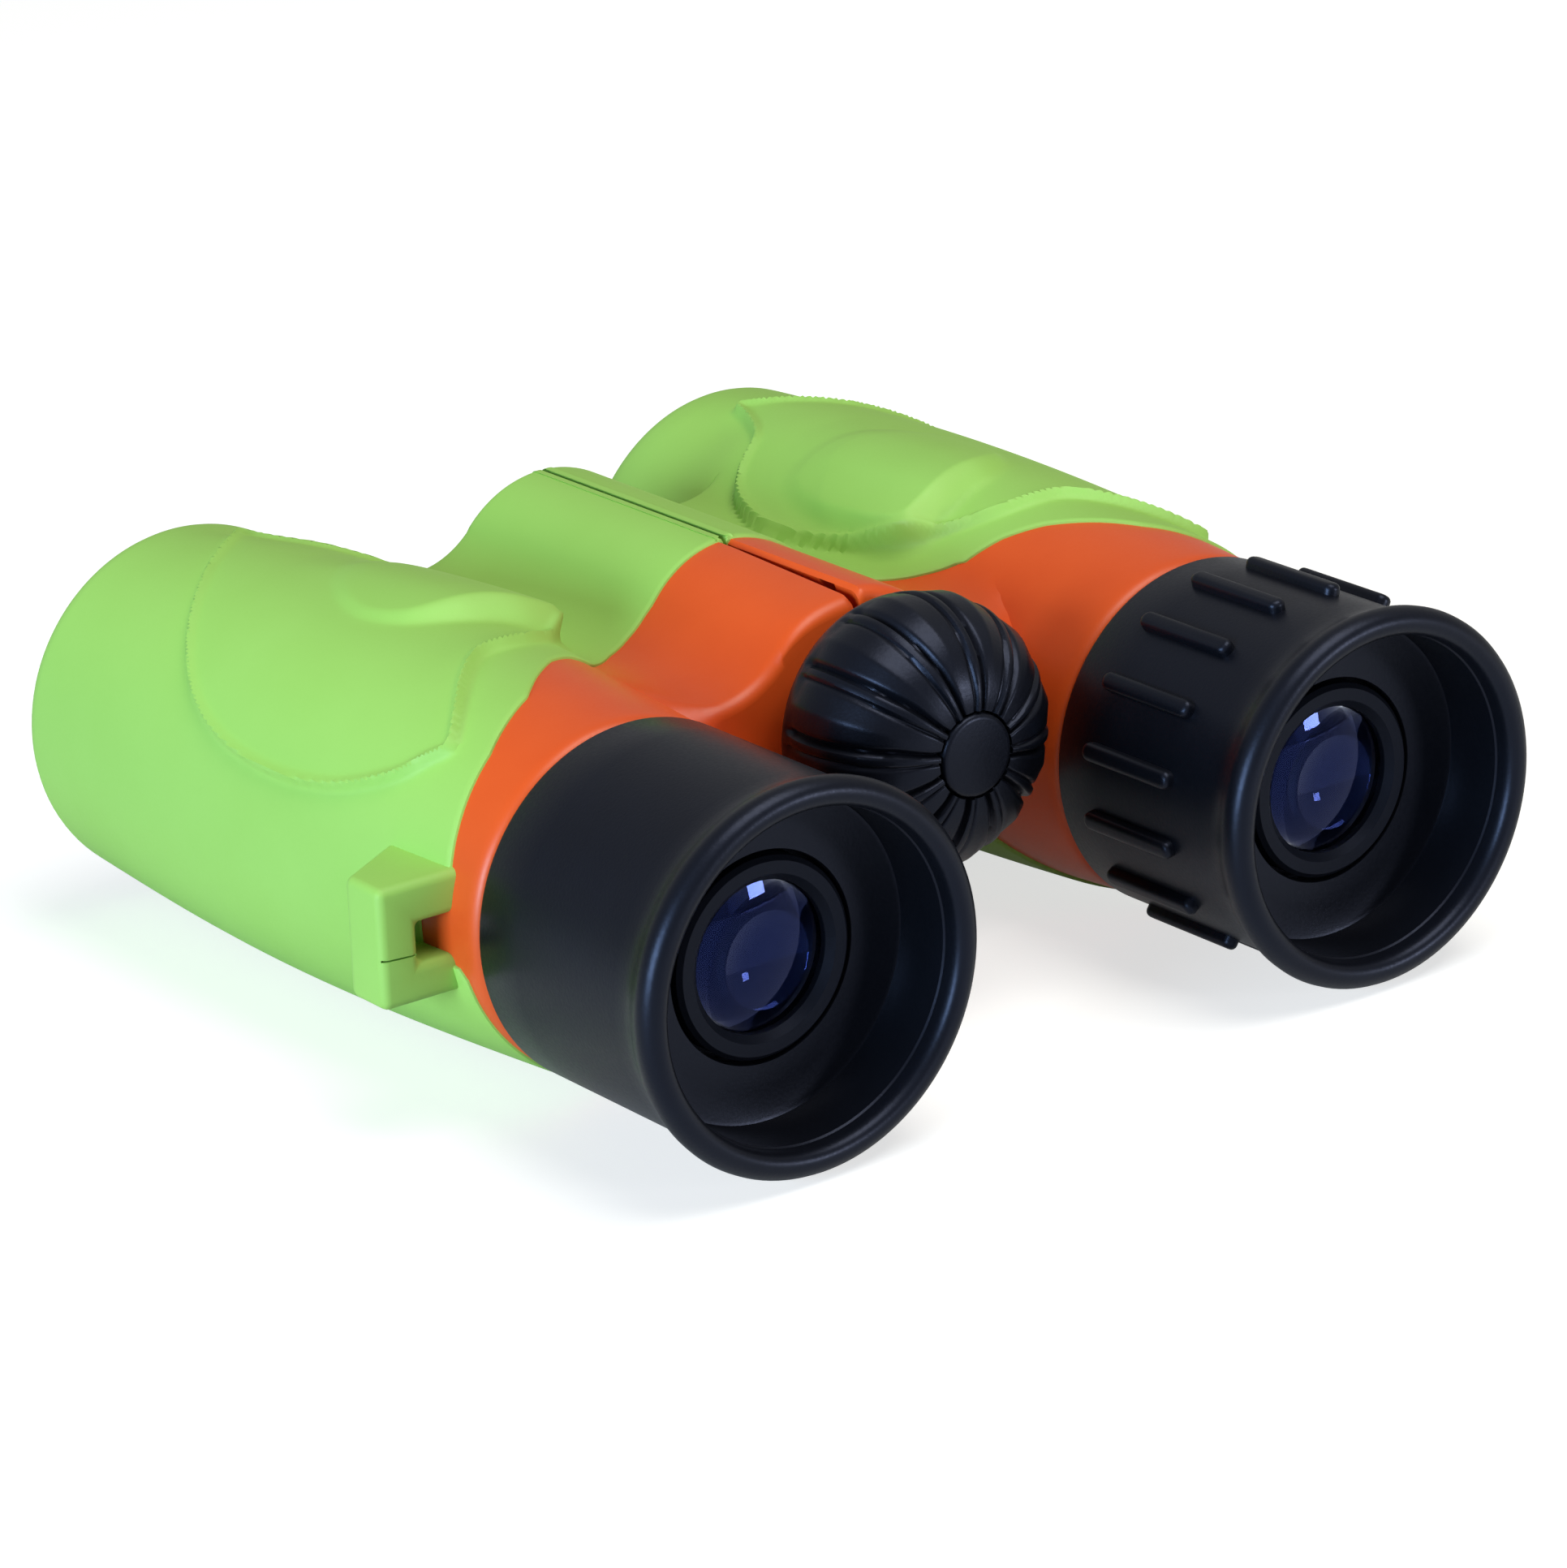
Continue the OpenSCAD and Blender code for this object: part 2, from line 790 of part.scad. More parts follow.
// two glass blocks with a slanted air gap between them
module prism_form() {
  front = cage_end_y - prism_inset;
  rear = cage_y + prism_inset;
  half = prism_width / 2;
  at_barrel()
    translate([-half, 0, 0])
      rotate([90, 0, 90])
        linear_extrude(height = prism_width) {
          polygon([
            [front, -half],
            [front, half],
            [front - prism_short, half],
            [front - prism_short - prism_slant, -half]
          ]);
          polygon([
            [front - prism_short - prism_air, half],
            [front - prism_short - prism_slant - prism_air, -half],
            [rear, -half],
            [rear, half]
          ]);
        }
}

module bezel_form() {
  at_barrel()
    turned([
      [mouth_radius, bezel_y],
      [barrel_bore - seat_fit, bezel_y],
      [barrel_bore - seat_fit, front_y - bezel_recess],
      [mouth_radius + bezel_flare, front_y - bezel_recess],
      [mouth_radius, front_y - bezel_recess - bezel_flare]
    ]);
}

// objective cell: a sliding tube with a lens pocket and a socket for its focus arm
module cell_form(arm_mid) {
  difference() {
    at_barrel()
      turned([
        [pocket_radius - lens_seat, cell_y],
        [cell_radius, cell_y],
        [cell_radius, cell_end_y],
        [pocket_radius, cell_end_y],
        [pocket_radius, objective_y],
        [pocket_radius - lens_seat, objective_y]
      ]);
    toward_barrel()
      translate([
        arm_reach - seat_fit - span,
        arm_mid - arm_thick / 2 - seat_fit,
        -arm_width / 2 - seat_fit
      ])
        cube([barrel_bore, arm_thick + 2 * seat_fit, arm_width + 2 * seat_fit]);
  }
}

module objective_lens_form() {
  edge_y = objective_y + objective_rear;
  at_barrel()
    lens(objective_radius, edge_y, objective_edge, objective_rear, objective_bulge);
}

module objective_ring_form() {
  at_barrel()
    pipe(objective_radius, objective_radius - ring_wall, ring_y, ring_y + ring_thick);
}

// focus arm: an open fork around the collar groove and a plate to the objective cell
module arm_form(arm_mid) {
  toward_barrel()
    difference() {
      union() {
        rod(hinge_cavity - turn_gap, arm_mid - arm_thick / 2, arm_mid + arm_thick / 2);
        translate([arm_reach - span, arm_mid - arm_thick / 2, -arm_width / 2])
          cube([span - arm_reach - groove_radius, arm_thick, arm_width]);
      }
      rod(groove_radius + slide_fit, collar_y - reach, collar_y + reach);
      translate([0, collar_y - collar_length, -fork_grip * groove_radius])
        cube([reach, 2 * collar_length, 2 * fork_grip * groove_radius]);
    }
}

function groove_span(mid) = [mid - arm_thick / 2 - groove_side, mid + arm_thick / 2 + groove_side];

module focus_collar() {
  near = groove_span(right_arm_y);
  far = groove_span(left_arm_y);
  inner = tube_radius + slide_fit;
  place(black)
    difference() {
      at_hinge()
        turned([
          [inner, collar_y - collar_length / 2],
          [collar_radius, collar_y - collar_length / 2],
          [collar_radius, near[0]],
          [groove_radius, near[0]],
          [groove_radius, near[1]],
          [collar_radius, near[1]],
          [collar_radius, far[0]],
          [groove_radius, far[0]],
          [groove_radius, far[1]],
          [collar_radius, far[1]],
          [collar_radius, collar_y + collar_length / 2],
          [inner, collar_y + collar_length / 2]
        ]);
      pins(pin_radius + seat_fit, seat_fit);
    }
}

// two stub pins, above and below the spindle, made longer by extra at both ends
module pins(radius, extra) {
  for (side = [0, 180])
    at_hinge()
      translate([0, collar_y, 0])
        rotate([0, side, 0])
          translate([0, 0, pin_inner - extra])
            cylinder(r = radius, h = pin_outer - pin_inner + 2 * extra);
}

module drive_pins() {
  place(steel)
    pins(pin_radius, 0);
}

module focus_nut() {
  place(brass)
    difference() {
      at_hinge()
        translate([0, collar_y, 0])
          pipe(nut_radius, spindle_radius + slide_fit, -nut_length / 2, nut_length / 2);
      pins(pin_radius + seat_fit, seat_fit);
    }
}

module hinge_tube() {
  slot_length = 2 * (focus_travel + pin_radius + turn_gap);
  slot_side = 2 * (pin_radius + turn_gap / 2);
  place(steel)
    at_hinge()
      difference() {
        pipe(tube_radius, tube_bore, knuckle_y + tube_play, arm_end_y - tube_play);
        translate([0, collar_y, 0])
          cube([slot_side, slot_length, 4 * tube_radius], center = true);
      }
}

module hinge_cap() {
  place(black)
    at_hinge()
      turned([
        [0, arm_end_y],
        [cap_radius, arm_end_y],
        [cap_radius, bridge_end_y + cap_stand - cap_edge],
        [cap_radius - cap_edge, bridge_end_y + cap_stand],
        [0, bridge_end_y + cap_stand]
      ]);
}

module spindle_bushing() {
  place(brass)
    at_hinge()
      pipe(tube_bore - seat_fit, spindle_radius + slide_fit, bushing_y, bushing_y + bushing_length);
}

module focus_spindle() {
  place(steel)
    at_hinge()
      turned([
        [0, spindle_y],
        [spindle_radius, spindle_y],
        [spindle_radius, flange_y],
        [flange_radius, flange_y],
        [flange_radius, flange_y + flange_thick],
        [spindle_radius, flange_y + flange_thick],
        [spindle_radius, spindle_end_y],
        [0, spindle_end_y]
      ]);
}

module spindle_clip() {
  place(steel)
    at_hinge()
      pipe(flange_radius, spindle_radius + seat_fit, clip_y, clip_y + flange_thick);
}

// the knob's outline, r at its widest: a dome whose points lie closer together towards
// the flat end, then a short taper to the front edge
function dome_part(i) = pow(i / dome_steps, 2);
function dome(t, r) = knob_flat + (r - knob_flat) * sqrt(1 - pow(1 - t, 2));
function taper(t) = knob_radius - (knob_radius - knob_edge_radius) * pow(t, 2);
taper_length = knob_length - dome_length;

module knob_groove() {
  floor_radius = knob_radius - groove_depth;
  floor_length = dome_length - groove_depth;
  stop_y = knob_end_y - groove_stop;
  linear_extrude(height = groove_width, center = true)
    polygon(concat(
      [for (i = [1:dome_steps]) [
        dome(dome_part(i), floor_radius),
        knob_y + groove_depth + floor_length * dome_part(i)
      ]],
      [
        [floor_radius, stop_y],
        [2 * knob_radius, stop_y],
        [2 * knob_radius, knob_y - cut_over],
        [dome(dome_part(1), floor_radius), knob_y - cut_over]
      ]
    ));
}

module focus_knob() {
  place(black)
    at_hinge()
      difference() {
        turned(concat(
          [[knob_flat + seat_fit, knob_y + flat_depth], [knob_flat + seat_fit, knob_y]],
          [for (i = [1:dome_steps]) [
            dome(dome_part(i), knob_radius),
            knob_y + dome_length * dome_part(i)
          ]],
          [for (i = [1:base_steps]) [
            taper(i / base_steps),
            knob_y + dome_length + taper_length * i / base_steps
          ]],
          [[hub_radius + seat_fit, knob_end_y], [hub_radius + seat_fit, knob_y + flat_depth]]
        ));
        for (i = [0:groove_count - 1])
          rotate([0, (i + 0.5) * 360 / groove_count, 0])
            knob_groove();
      }
}

module knob_hub() {
  place(black)
    at_hinge()
      pipe(hub_radius, spindle_radius + seat_fit, knob_y + flat_depth + seat_fit, hub_end_y);
}

module knob_cap() {
  place(black)
    at_hinge()
      rod(knob_flat, knob_y, knob_y + flat_depth);
}

module left_casing() {
  place(orange)
    difference() {
      casing_form(left_knuckles, right_knuckles, tube_radius + seat_fit, cap_radius + seat_fit);
      seam_cut();
    }
}

module right_casing() {
  place(orange)
    right()
      casing_form(right_knuckles, left_knuckles, tube_radius + slide_fit, cap_radius + turn_gap);
}

module left_armour() {
  place(green)
    left_armour_form();
}

module right_armour() {
  place(green)
    right()
      left_armour_form();
}

module left_eyecup() {
  place(black)
    eyecup_form();
}

module right_eyecup() {
  place(black)
    right() {
      eyecup_form();
      at_barrel()
        difference() {
          for (i = [0:rib_count - 1])
            rotate([0, (i + 0.5) * 360 / rib_count, 0])
              translate([0, 0, sleeve_radius])
                rib();
          rod((sleeve_radius + sleeve_bore) / 2, 0, shoulder_y);
        }
    }
}

module left_cup_core() {
  place(black)
    cup_core_form();
}

module dioptre_ring() {
  place(black)
    right()
      cup_core_form();
}

module left_eye_tube() {
  place(black)
    eye_tube_form();
}

module right_eye_tube() {
  place(black)
    right()
      eye_tube_form();
}

module left_eye_ring() {
  place(black)
    eye_ring_form();
}

module right_eye_ring() {
  place(black)
    right()
      eye_ring_form();
}

module left_eye_lens() {
  place(glass)
    eye_lens_form();
}

module right_eye_lens() {
  place(glass)
    right()
      eye_lens_form();
}

module left_field_lens() {
  place(glass)
    field_lens_form();
}

module right_field_lens() {
  place(glass)
    right()
      field_lens_form();
}

module left_field_stop() {
  place(black)
    field_stop_form();
}

module right_field_stop() {
  place(black)
    right()
      field_stop_form();
}

module left_prism_cage() {
  place(black)
    prism_cage_form();
}

module right_prism_cage() {
  place(black)
    right()
      prism_cage_form();
}

module left_prism() {
  place(glass)
    prism_form();
}

module right_prism() {
  place(glass)
    right()
      prism_form();
}

module left_bezel() {
  place(black)
    bezel_form();
}

module right_bezel() {
  place(black)
    right()
      bezel_form();
}

module left_objective_cell() {
  place(black)
    cell_form(left_arm_y);
}

module right_objective_cell() {
  place(black)
    right()
      cell_form(right_arm_y);
}

module left_objective_lens() {
  place(glass)
    objective_lens_form();
}

module right_objective_lens() {
  place(glass)
    right()
      objective_lens_form();
}

module left_objective_ring() {
  place(black)
    objective_ring_form();
}

module right_objective_ring() {
  place(black)
    right()
      objective_ring_form();
}

module left_focus_arm() {
  place(steel)
    arm_form(left_arm_y);
}

module right_focus_arm() {
  place(steel)
    right()
      arm_form(right_arm_y);
}

left_casing();
left_armour();
left_eyecup();
left_cup_core();
left_eye_tube();
left_eye_ring();
left_eye_lens();
left_field_lens();
left_field_stop();
left_prism_cage();
left_prism();
left_bezel();
hinge_tube();
hinge_cap();
spindle_bushing();
focus_knob();
knob_hub();
knob_cap();
focus_spindle();
spindle_clip();
focus_nut();
drive_pins();
focus_collar();
left_focus_arm();
left_objective_cell();
left_objective_lens();
left_objective_ring();
right_casing();
right_armour();
right_prism_cage();
right_prism();
right_bezel();
right_focus_arm();
right_objective_cell();
right_objective_lens();
right_objective_ring();
right_eyecup();
dioptre_ring();
right_eye_tube();
right_eye_ring();
right_eye_lens();
right_field_lens();
right_field_stop();
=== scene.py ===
"""The looks of a child's rubber-armoured binoculars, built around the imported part."""

import json
import math

import bmesh
import bpy
import numpy
from mathutils import Matrix, Vector

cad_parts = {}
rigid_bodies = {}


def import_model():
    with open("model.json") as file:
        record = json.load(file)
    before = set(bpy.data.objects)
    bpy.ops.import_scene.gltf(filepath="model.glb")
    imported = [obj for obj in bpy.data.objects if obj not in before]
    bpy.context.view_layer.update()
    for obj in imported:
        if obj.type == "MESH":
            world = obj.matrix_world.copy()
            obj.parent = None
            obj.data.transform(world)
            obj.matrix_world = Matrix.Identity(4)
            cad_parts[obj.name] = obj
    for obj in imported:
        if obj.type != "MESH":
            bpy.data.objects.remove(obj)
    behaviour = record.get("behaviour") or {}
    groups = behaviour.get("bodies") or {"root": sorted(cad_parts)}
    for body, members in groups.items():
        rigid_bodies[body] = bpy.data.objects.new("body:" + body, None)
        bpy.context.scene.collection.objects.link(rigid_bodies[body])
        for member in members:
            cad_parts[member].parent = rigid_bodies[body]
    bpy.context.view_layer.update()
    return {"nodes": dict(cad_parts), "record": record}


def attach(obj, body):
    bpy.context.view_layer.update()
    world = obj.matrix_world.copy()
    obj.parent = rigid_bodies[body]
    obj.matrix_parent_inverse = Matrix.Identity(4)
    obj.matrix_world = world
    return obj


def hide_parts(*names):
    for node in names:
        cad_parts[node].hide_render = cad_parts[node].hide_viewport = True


for leftover in list(bpy.data.objects):
    bpy.data.objects.remove(leftover)
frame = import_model()

# Casings.
# Each half is one injection moulding of orange ABS: a barrel tube with a thin neck for the
# eyepiece, and half of the bridge with two knuckles that the steel hinge tube runs through.
# Sizes are in millimetres, y from the eyecup rims and z from the optical axes.
HALF_GAP = 31.0
HINGE_RISE = 7.3
AXIS_HEIGHT = 17.8
HALF_LENGTH = 49.0
HUMP_RADIUS = 11.4
HOLLOW_RADIUS = 9.0
REAR_RADIUS = 16.1
BELLY_RADIUS = 17.8
FRONT_RADIUS = 16.7
SWELL_Y = 27.2
BELLY_Y = 66.0
FRONT_START_Y = 95.2
BRIDGE_Y = 34.0
BRIDGE_END_Y = 82.0
FOLD_ROOM = 27.5
SPAN = math.hypot(HALF_GAP, HINGE_RISE)
DROOP = math.atan2(HINGE_RISE, HALF_GAP)
SECTOR = math.radians(180 - FOLD_ROOM)
# parts of the cross-section, from the seam over the top and round the barrel to the hinge
HUMP, UPPER_HOLLOW, BARREL, LOWER_HOLLOW, CAVITY, ROOT = range(6)


def barrel_radius(y):
    """Radius of the armoured barrel: it swells to the belly and narrows to the front."""
    if y < BELLY_Y:
        share = max(0, (y - SWELL_Y) / (BELLY_Y - SWELL_Y))
        return REAR_RADIUS + (BELLY_RADIUS - REAR_RADIUS) * math.sin(math.pi / 2 * share)
    share = min(1, (y - BELLY_Y) / (FRONT_START_Y - BELLY_Y))
    return BELLY_RADIUS - (BELLY_RADIUS - FRONT_RADIUS) * (1 - math.cos(math.pi / 2 * share))


def toward(angle):
    """Unit direction in the cross-section, turned from straight up towards the left barrel."""
    return -math.sin(angle), math.cos(angle)


def half_arcs(y):
    """The four arcs of the left half's cross-section: hump, upper hollow, barrel, lower hollow.
    Each is a centre, a radius, the angles of its two ends, and the side its surface faces."""
    barrel = barrel_radius(y)
    near, far = HUMP_RADIUS + HOLLOW_RADIUS, barrel + HOLLOW_RADIUS
    along = (near * near - far * far + SPAN * SPAN) / (2 * SPAN)
    off = math.sqrt(near * near - along * along)
    from_hinge, from_barrel = math.atan2(off, along), math.atan2(off, SPAN - along)
    axis = math.pi / 2 + DROOP
    upper, lower = axis - from_hinge, axis + from_hinge
    barrel_top, barrel_low = axis - math.pi + from_barrel, axis + math.pi - from_barrel
    hollows = []
    for turn in (upper, lower):
        x, z = toward(turn)
        hollows.append((near * x, HINGE_RISE + near * z))
    delta = lower - SECTOR
    reach = near * math.cos(delta) - math.sqrt(HOLLOW_RADIUS**2 - (near * math.sin(delta)) ** 2)
    end_x = reach * toward(SECTOR)[0] - hollows[1][0]
    end_z = HINGE_RISE + reach * toward(SECTOR)[1] - hollows[1][1]
    return (
        ((0.0, HINGE_RISE), HUMP_RADIUS, 0.0, upper, 1),
        (hollows[0], HOLLOW_RADIUS, upper + math.pi, barrel_top + math.pi, -1),
        ((-HALF_GAP, 0.0), barrel, barrel_top, barrel_low, 1),
        (hollows[1], HOLLOW_RADIUS, barrel_low - math.pi, math.atan2(-end_x, end_z), -1),
    )


def on_half(arcs, part, share, depth):
    """A point of one arc that lies depth under the surface, and the outward direction there."""
    (x, z), radius, start, end, faces = arcs[part]
    dx, dz = toward(start + (end - start) * share)
    radius -= depth * faces
    return Vector((x + radius * dx, 0, z + radius * dz)), Vector((dx * faces, 0, dz * faces))


def ease(value, low, high):
    """0 below low, 1 above high, and a smooth rise between them."""
    t = numpy.clip((numpy.asarray(value, float) - low) / (high - low), 0, 1)
    return t * t * (3 - 2 * t)


# rear edge of the armour: turn about the hinge on the hump, x in the upper hollow, turn about
# the barrel elsewhere, each with its y; the last table runs on round the underside
BORDER_HUMP = ((0, 53.2), (20, 53.0), (36, 52.8), (49, 52.6))
BORDER_HOLLOW = (
    (-20.7, 45.0), (-18.0, 47.6), (-15.0, 50.1), (-12.1, 51.6), (-9.6, 52.5), (-8.5, 52.6),
)
BORDER_BARREL = (
    (-37, 45.0), (-25, 43.6), (-13, 41.5), (0, 38.3), (10, 35.6),
    (34, 32.4), (56, 31.0), (79, 29.6), (83.5, 33.5), (97, 33.5),
    (101, 28.3), (106, 28.0), (135, 27.3), (165, 27.6), (190, 30.0),
    (215, 35.0), (244, 41.5), (270, 44.5), (300, 46.0),
)
UNDERSIDE_TURN = -70


def border(part, point):
    """Where the armour begins along y, at a point of the cross-section."""
    if part == HUMP:
        turn = math.degrees(math.atan2(-point.x, point.z - HINGE_RISE))
        table = BORDER_HUMP
    elif part == UPPER_HOLLOW:
        turn, table = point.x, BORDER_HOLLOW
    else:
        turn = math.degrees(math.atan2(-point.x - HALF_GAP, point.z))
        table = BORDER_BARREL
        if turn < (0 if part == LOWER_HOLLOW else UNDERSIDE_TURN):
            turn += 360
    return float(numpy.interp(turn, [t for t, _ in table], [y for _, y in table]))


def shaped_grid(bm, columns, rows, place):
    """Adds a flat grid and moves each of its corners to place(column, row)."""
    corners = bmesh.ops.create_grid(bm, x_segments=columns, y_segments=rows, size=0.5)["verts"]
    for corner in corners:
        column = round((corner.co.x + 0.5) * columns)
        row = round((corner.co.y + 0.5) * rows)
        corner.co = place(column, row)
    return corners


def turned(bm, profile, x, z, steps):
    """Adds a closed ring: a profile of (radius, y) points spun about a line along y."""
    corners = [bm.verts.new((x, y, z + radius)) for radius, y in profile]
    edges = [bm.edges.new((a, b)) for a, b in zip(corners, corners[1:] + corners[:1])]
    bmesh.ops.spin(
        bm, geom=corners + edges, cent=(x, 0, z), axis=(0, 1, 0),
        angle=2 * math.pi, steps=steps, use_merge=True,
    )


MEETING = 1e-4
DEGENERATE = 1e-5
SHARP_EDGE = math.radians(38)


def weld(bm):
    """Joins the meeting corners and turns all faces outwards."""
    bmesh.ops.remove_doubles(bm, verts=bm.verts, dist=MEETING)
    bmesh.ops.dissolve_degenerate(bm, edges=bm.edges, dist=DEGENERATE)
    bmesh.ops.recalc_face_normals(bm, faces=bm.faces)


def joined(bm, other):
    """Puts the other mesh into the first one as a shell of its own."""
    mesh = bpy.data.meshes.new("shell")
    other.to_mesh(mesh)
    other.free()
    bm.from_mesh(mesh)
    bpy.data.meshes.remove(mesh)


def mirrored(bm):
    """Turns a left piece into a right one."""
    bmesh.ops.scale(bm, vec=(-1, 1, 1), verts=bm.verts)
    bmesh.ops.reverse_faces(bm, faces=bm.faces)


def set_piece(bm, name, body, slot, material, *nodes):
    """Makes the piece's object in metres in the part's frame, in place of the CAD nodes."""
    for corner in bm.verts:
        x, y, z = corner.co
        corner.co = (x / 1000, (y - HALF_LENGTH) / 1000, (z + AXIS_HEIGHT) / 1000)
    mesh = bpy.data.meshes.new(name)
    bm.to_mesh(mesh)
    bm.free()
    for face in mesh.polygons:
        face.use_smooth = True
    mesh.set_sharp_from_angle(angle=SHARP_EDGE)
    mesh.materials.append(material)
    piece = bpy.data.objects.new(name, mesh)
    bpy.context.scene.collection.objects.link(piece)
    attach(piece, body)
    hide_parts(*nodes)


def linear(hex_colour):
    """An sRGB hex colour as the linear values that a shader takes."""
    parts = [int(hex_colour[i : i + 2], 16) / 255 for i in (1, 3, 5)]
    return [c / 12.92 if c <= 0.04045 else ((c + 0.055) / 1.055) ** 2.4 for c in parts] + [1.0]


def per_metre(millimetres):
    """Scale of a pattern whose repeat is that long."""
    return 1000 / millimetres


def add(tree, kind, inputs=None, **settings):
    """Adds a node with its settings, its values and its links."""
    node = tree.nodes.new(kind)
    for key, value in settings.items():
        setattr(node, key, value)
    for key, value in (inputs or {}).items():
        if isinstance(value, bpy.types.NodeSocket):
            tree.links.new(value, node.inputs[key])
        else:
            node.inputs[key].default_value = value
    return node


def new_material(name):
    """An empty node material with its shader and output."""
    material = bpy.data.materials.new(name)
    material.use_nodes = True
    tree = material.node_tree
    tree.nodes.clear()
    shader = add(tree, "ShaderNodeBsdfPrincipled")
    add(tree, "ShaderNodeOutputMaterial", {"Surface": shader.outputs["BSDF"]})
    return material, tree, shader


# Orange ABS from a spark-eroded mould: satin, with a fine grain that breaks up the highlight
# and a slightly uneven colour where the melt has flowed.
orange_abs, tree, shader = new_material("moulded_orange_abs")
place = add(tree, "ShaderNodeTexCoord").outputs["Object"]
flow = add(tree, "ShaderNodeTexNoise", {"Vector": place, "Scale": per_metre(9), "Detail": 3.0})
tint = add(tree, "ShaderNodeValToRGB", {"Fac": flow.outputs["Fac"]})
tint.color_ramp.elements[0].color = linear("#E25219")
tint.color_ramp.elements[1].color = linear("#EE5F23")
tree.links.new(tint.outputs["Color"], shader.inputs["Base Color"])
# the grain is about 0.1 mm on the real moulding, drawn at 0.3 mm so that it shows
grain = add(tree, "ShaderNodeTexNoise", {"Vector": place, "Scale": per_metre(0.3), "Detail": 2.0})
gloss = add(
    tree, "ShaderNodeMapRange",
    {"Value": grain.outputs["Fac"], "To Min": 0.34, "To Max": 0.46},
)
tree.links.new(gloss.outputs["Result"], shader.inputs["Roughness"])
bump = add(
    tree, "ShaderNodeBump",
    {"Height": grain.outputs["Fac"], "Strength": 0.25, "Distance": 0.00002},
)
tree.links.new(bump.outputs["Normal"], shader.inputs["Normal"])
shader.inputs["IOR"].default_value = 1.54
shader.inputs["Specular IOR Level"].default_value = 0.4

BARE_DEPTH = 0.3
UNDER_DEPTH = 1.35
UNDER_LAP = 0.4
NECK_Y = 11.45
NECK_RADIUS = 12.98
NECK_BORE = 11.08
SHOULDER_Y = 26.0
SEAT_Y = 29.0
BORE_RADIUS = 13.5
CASING_FRONT_Y = 95.6
# rounded edge of the shoulder: height over the bare skin, and y
LIP = (
    (-1.35, 26.0), (-0.95, 26.02), (-0.62, 26.12), (-0.36, 26.3), (-0.17, 26.58),
    (-0.05, 26.95), (0, 27.4),
)
LIP_END_Y = LIP[-1][1]
BARE_END_Y = 27.8
# a radius near the skin, at which the armour's edge is looked up
SKIN_RADIUS = 17.0
TUBE_COLUMNS = 144
BARE_ROWS = 14
SUNK_ROWS = 8


def casing_tube(bm):
    """The barrel tube with its neck, bare behind the armour's edge and sunk under the armour."""
    neck = ((NECK_BORE, NECK_Y), (NECK_RADIUS, NECK_Y), (NECK_RADIUS, SHOULDER_Y))
    inner = (
        (BORE_RADIUS, CASING_FRONT_Y), (BORE_RADIUS, SEAT_Y), (NECK_BORE, SEAT_Y),
        (NECK_BORE, NECK_Y),
    )
    bare_start = len(neck) + len(LIP)
    sunk_start = bare_start + BARE_ROWS
    inner_start = sunk_start + SUNK_ROWS + 1

    def place_corner(column, row):
        dx, dz = toward(2 * math.pi * column / TUBE_COLUMNS)
        edge = border(BARREL, Vector((-HALF_GAP + dx * SKIN_RADIUS, 0, dz * SKIN_RADIUS)))
        edge = max(edge + UNDER_LAP, BARE_END_Y)
        if row < len(neck):
            radius, y = neck[row]
        elif row < bare_start:
            rise, y = LIP[row - len(neck)]
            radius = barrel_radius(y) - BARE_DEPTH + rise
        elif row < sunk_start:
            y = LIP_END_Y + (edge - LIP_END_Y) * (row - bare_start + 1) / BARE_ROWS
            radius = barrel_radius(y) - BARE_DEPTH
        elif row < inner_start:
            y = edge + (CASING_FRONT_Y - edge) * (row - sunk_start) / SUNK_ROWS
            radius = barrel_radius(y) - UNDER_DEPTH
        else:
            radius, y = inner[row - inner_start]
        return Vector((-HALF_GAP + radius * dx, y, radius * dz))

    shaped_grid(bm, TUBE_COLUMNS, inner_start + len(inner) - 1, place_corner)


KNUCKLE_Y = 36.0
KNUCKLE_PITCH = 7.75
KNUCKLE_COUNT = 4
KNUCKLE_RADIUS = 6.6
KNUCKLE_ROUND = 0.4
KNUCKLE_GAP = 0.4
KNUCKLE_STEPS = 48
LEFT_KNUCKLES = (0, 2)
RIGHT_KNUCKLES = (1, 3)
HINGE_BORE = 5.05
HINGE_CAVITY = 7.0
SPINDLE_BORE = 2.5
CAP_SEAT_Y = 79.4
CAP_BORE = 5.65
CASING_END_Y = BRIDGE_END_Y - 1
ROOT_DEPTH = 1.6
ROOT_RIM_Y = 46.0
ROOT_STEPS = 8
CAVITY_STEPS = 16
MIDDLE_Y = 45
CASING_SEAM = 0.3
SEAM_ROUND = 0.45
SEAM_UNDERCUT = 2.2
SEAM_SLOPE = 17.0
SEAM_REACH = (1.5, 8.5)
LEFT_SEAM_DROP = 0.6
EDGE_ROUND = 1.3
EDGE_STEPS = 6
EDGE_GROWTH = 4.2
EDGE_GROWTH_SHARES = (0.52, 0.92)
BRIDGE_BARE_ROWS = 8
BRIDGE_HUMP_STEPS = 24
BRIDGE_UPPER_STEPS = 22
BRIDGE_LOWER_STEPS = 14


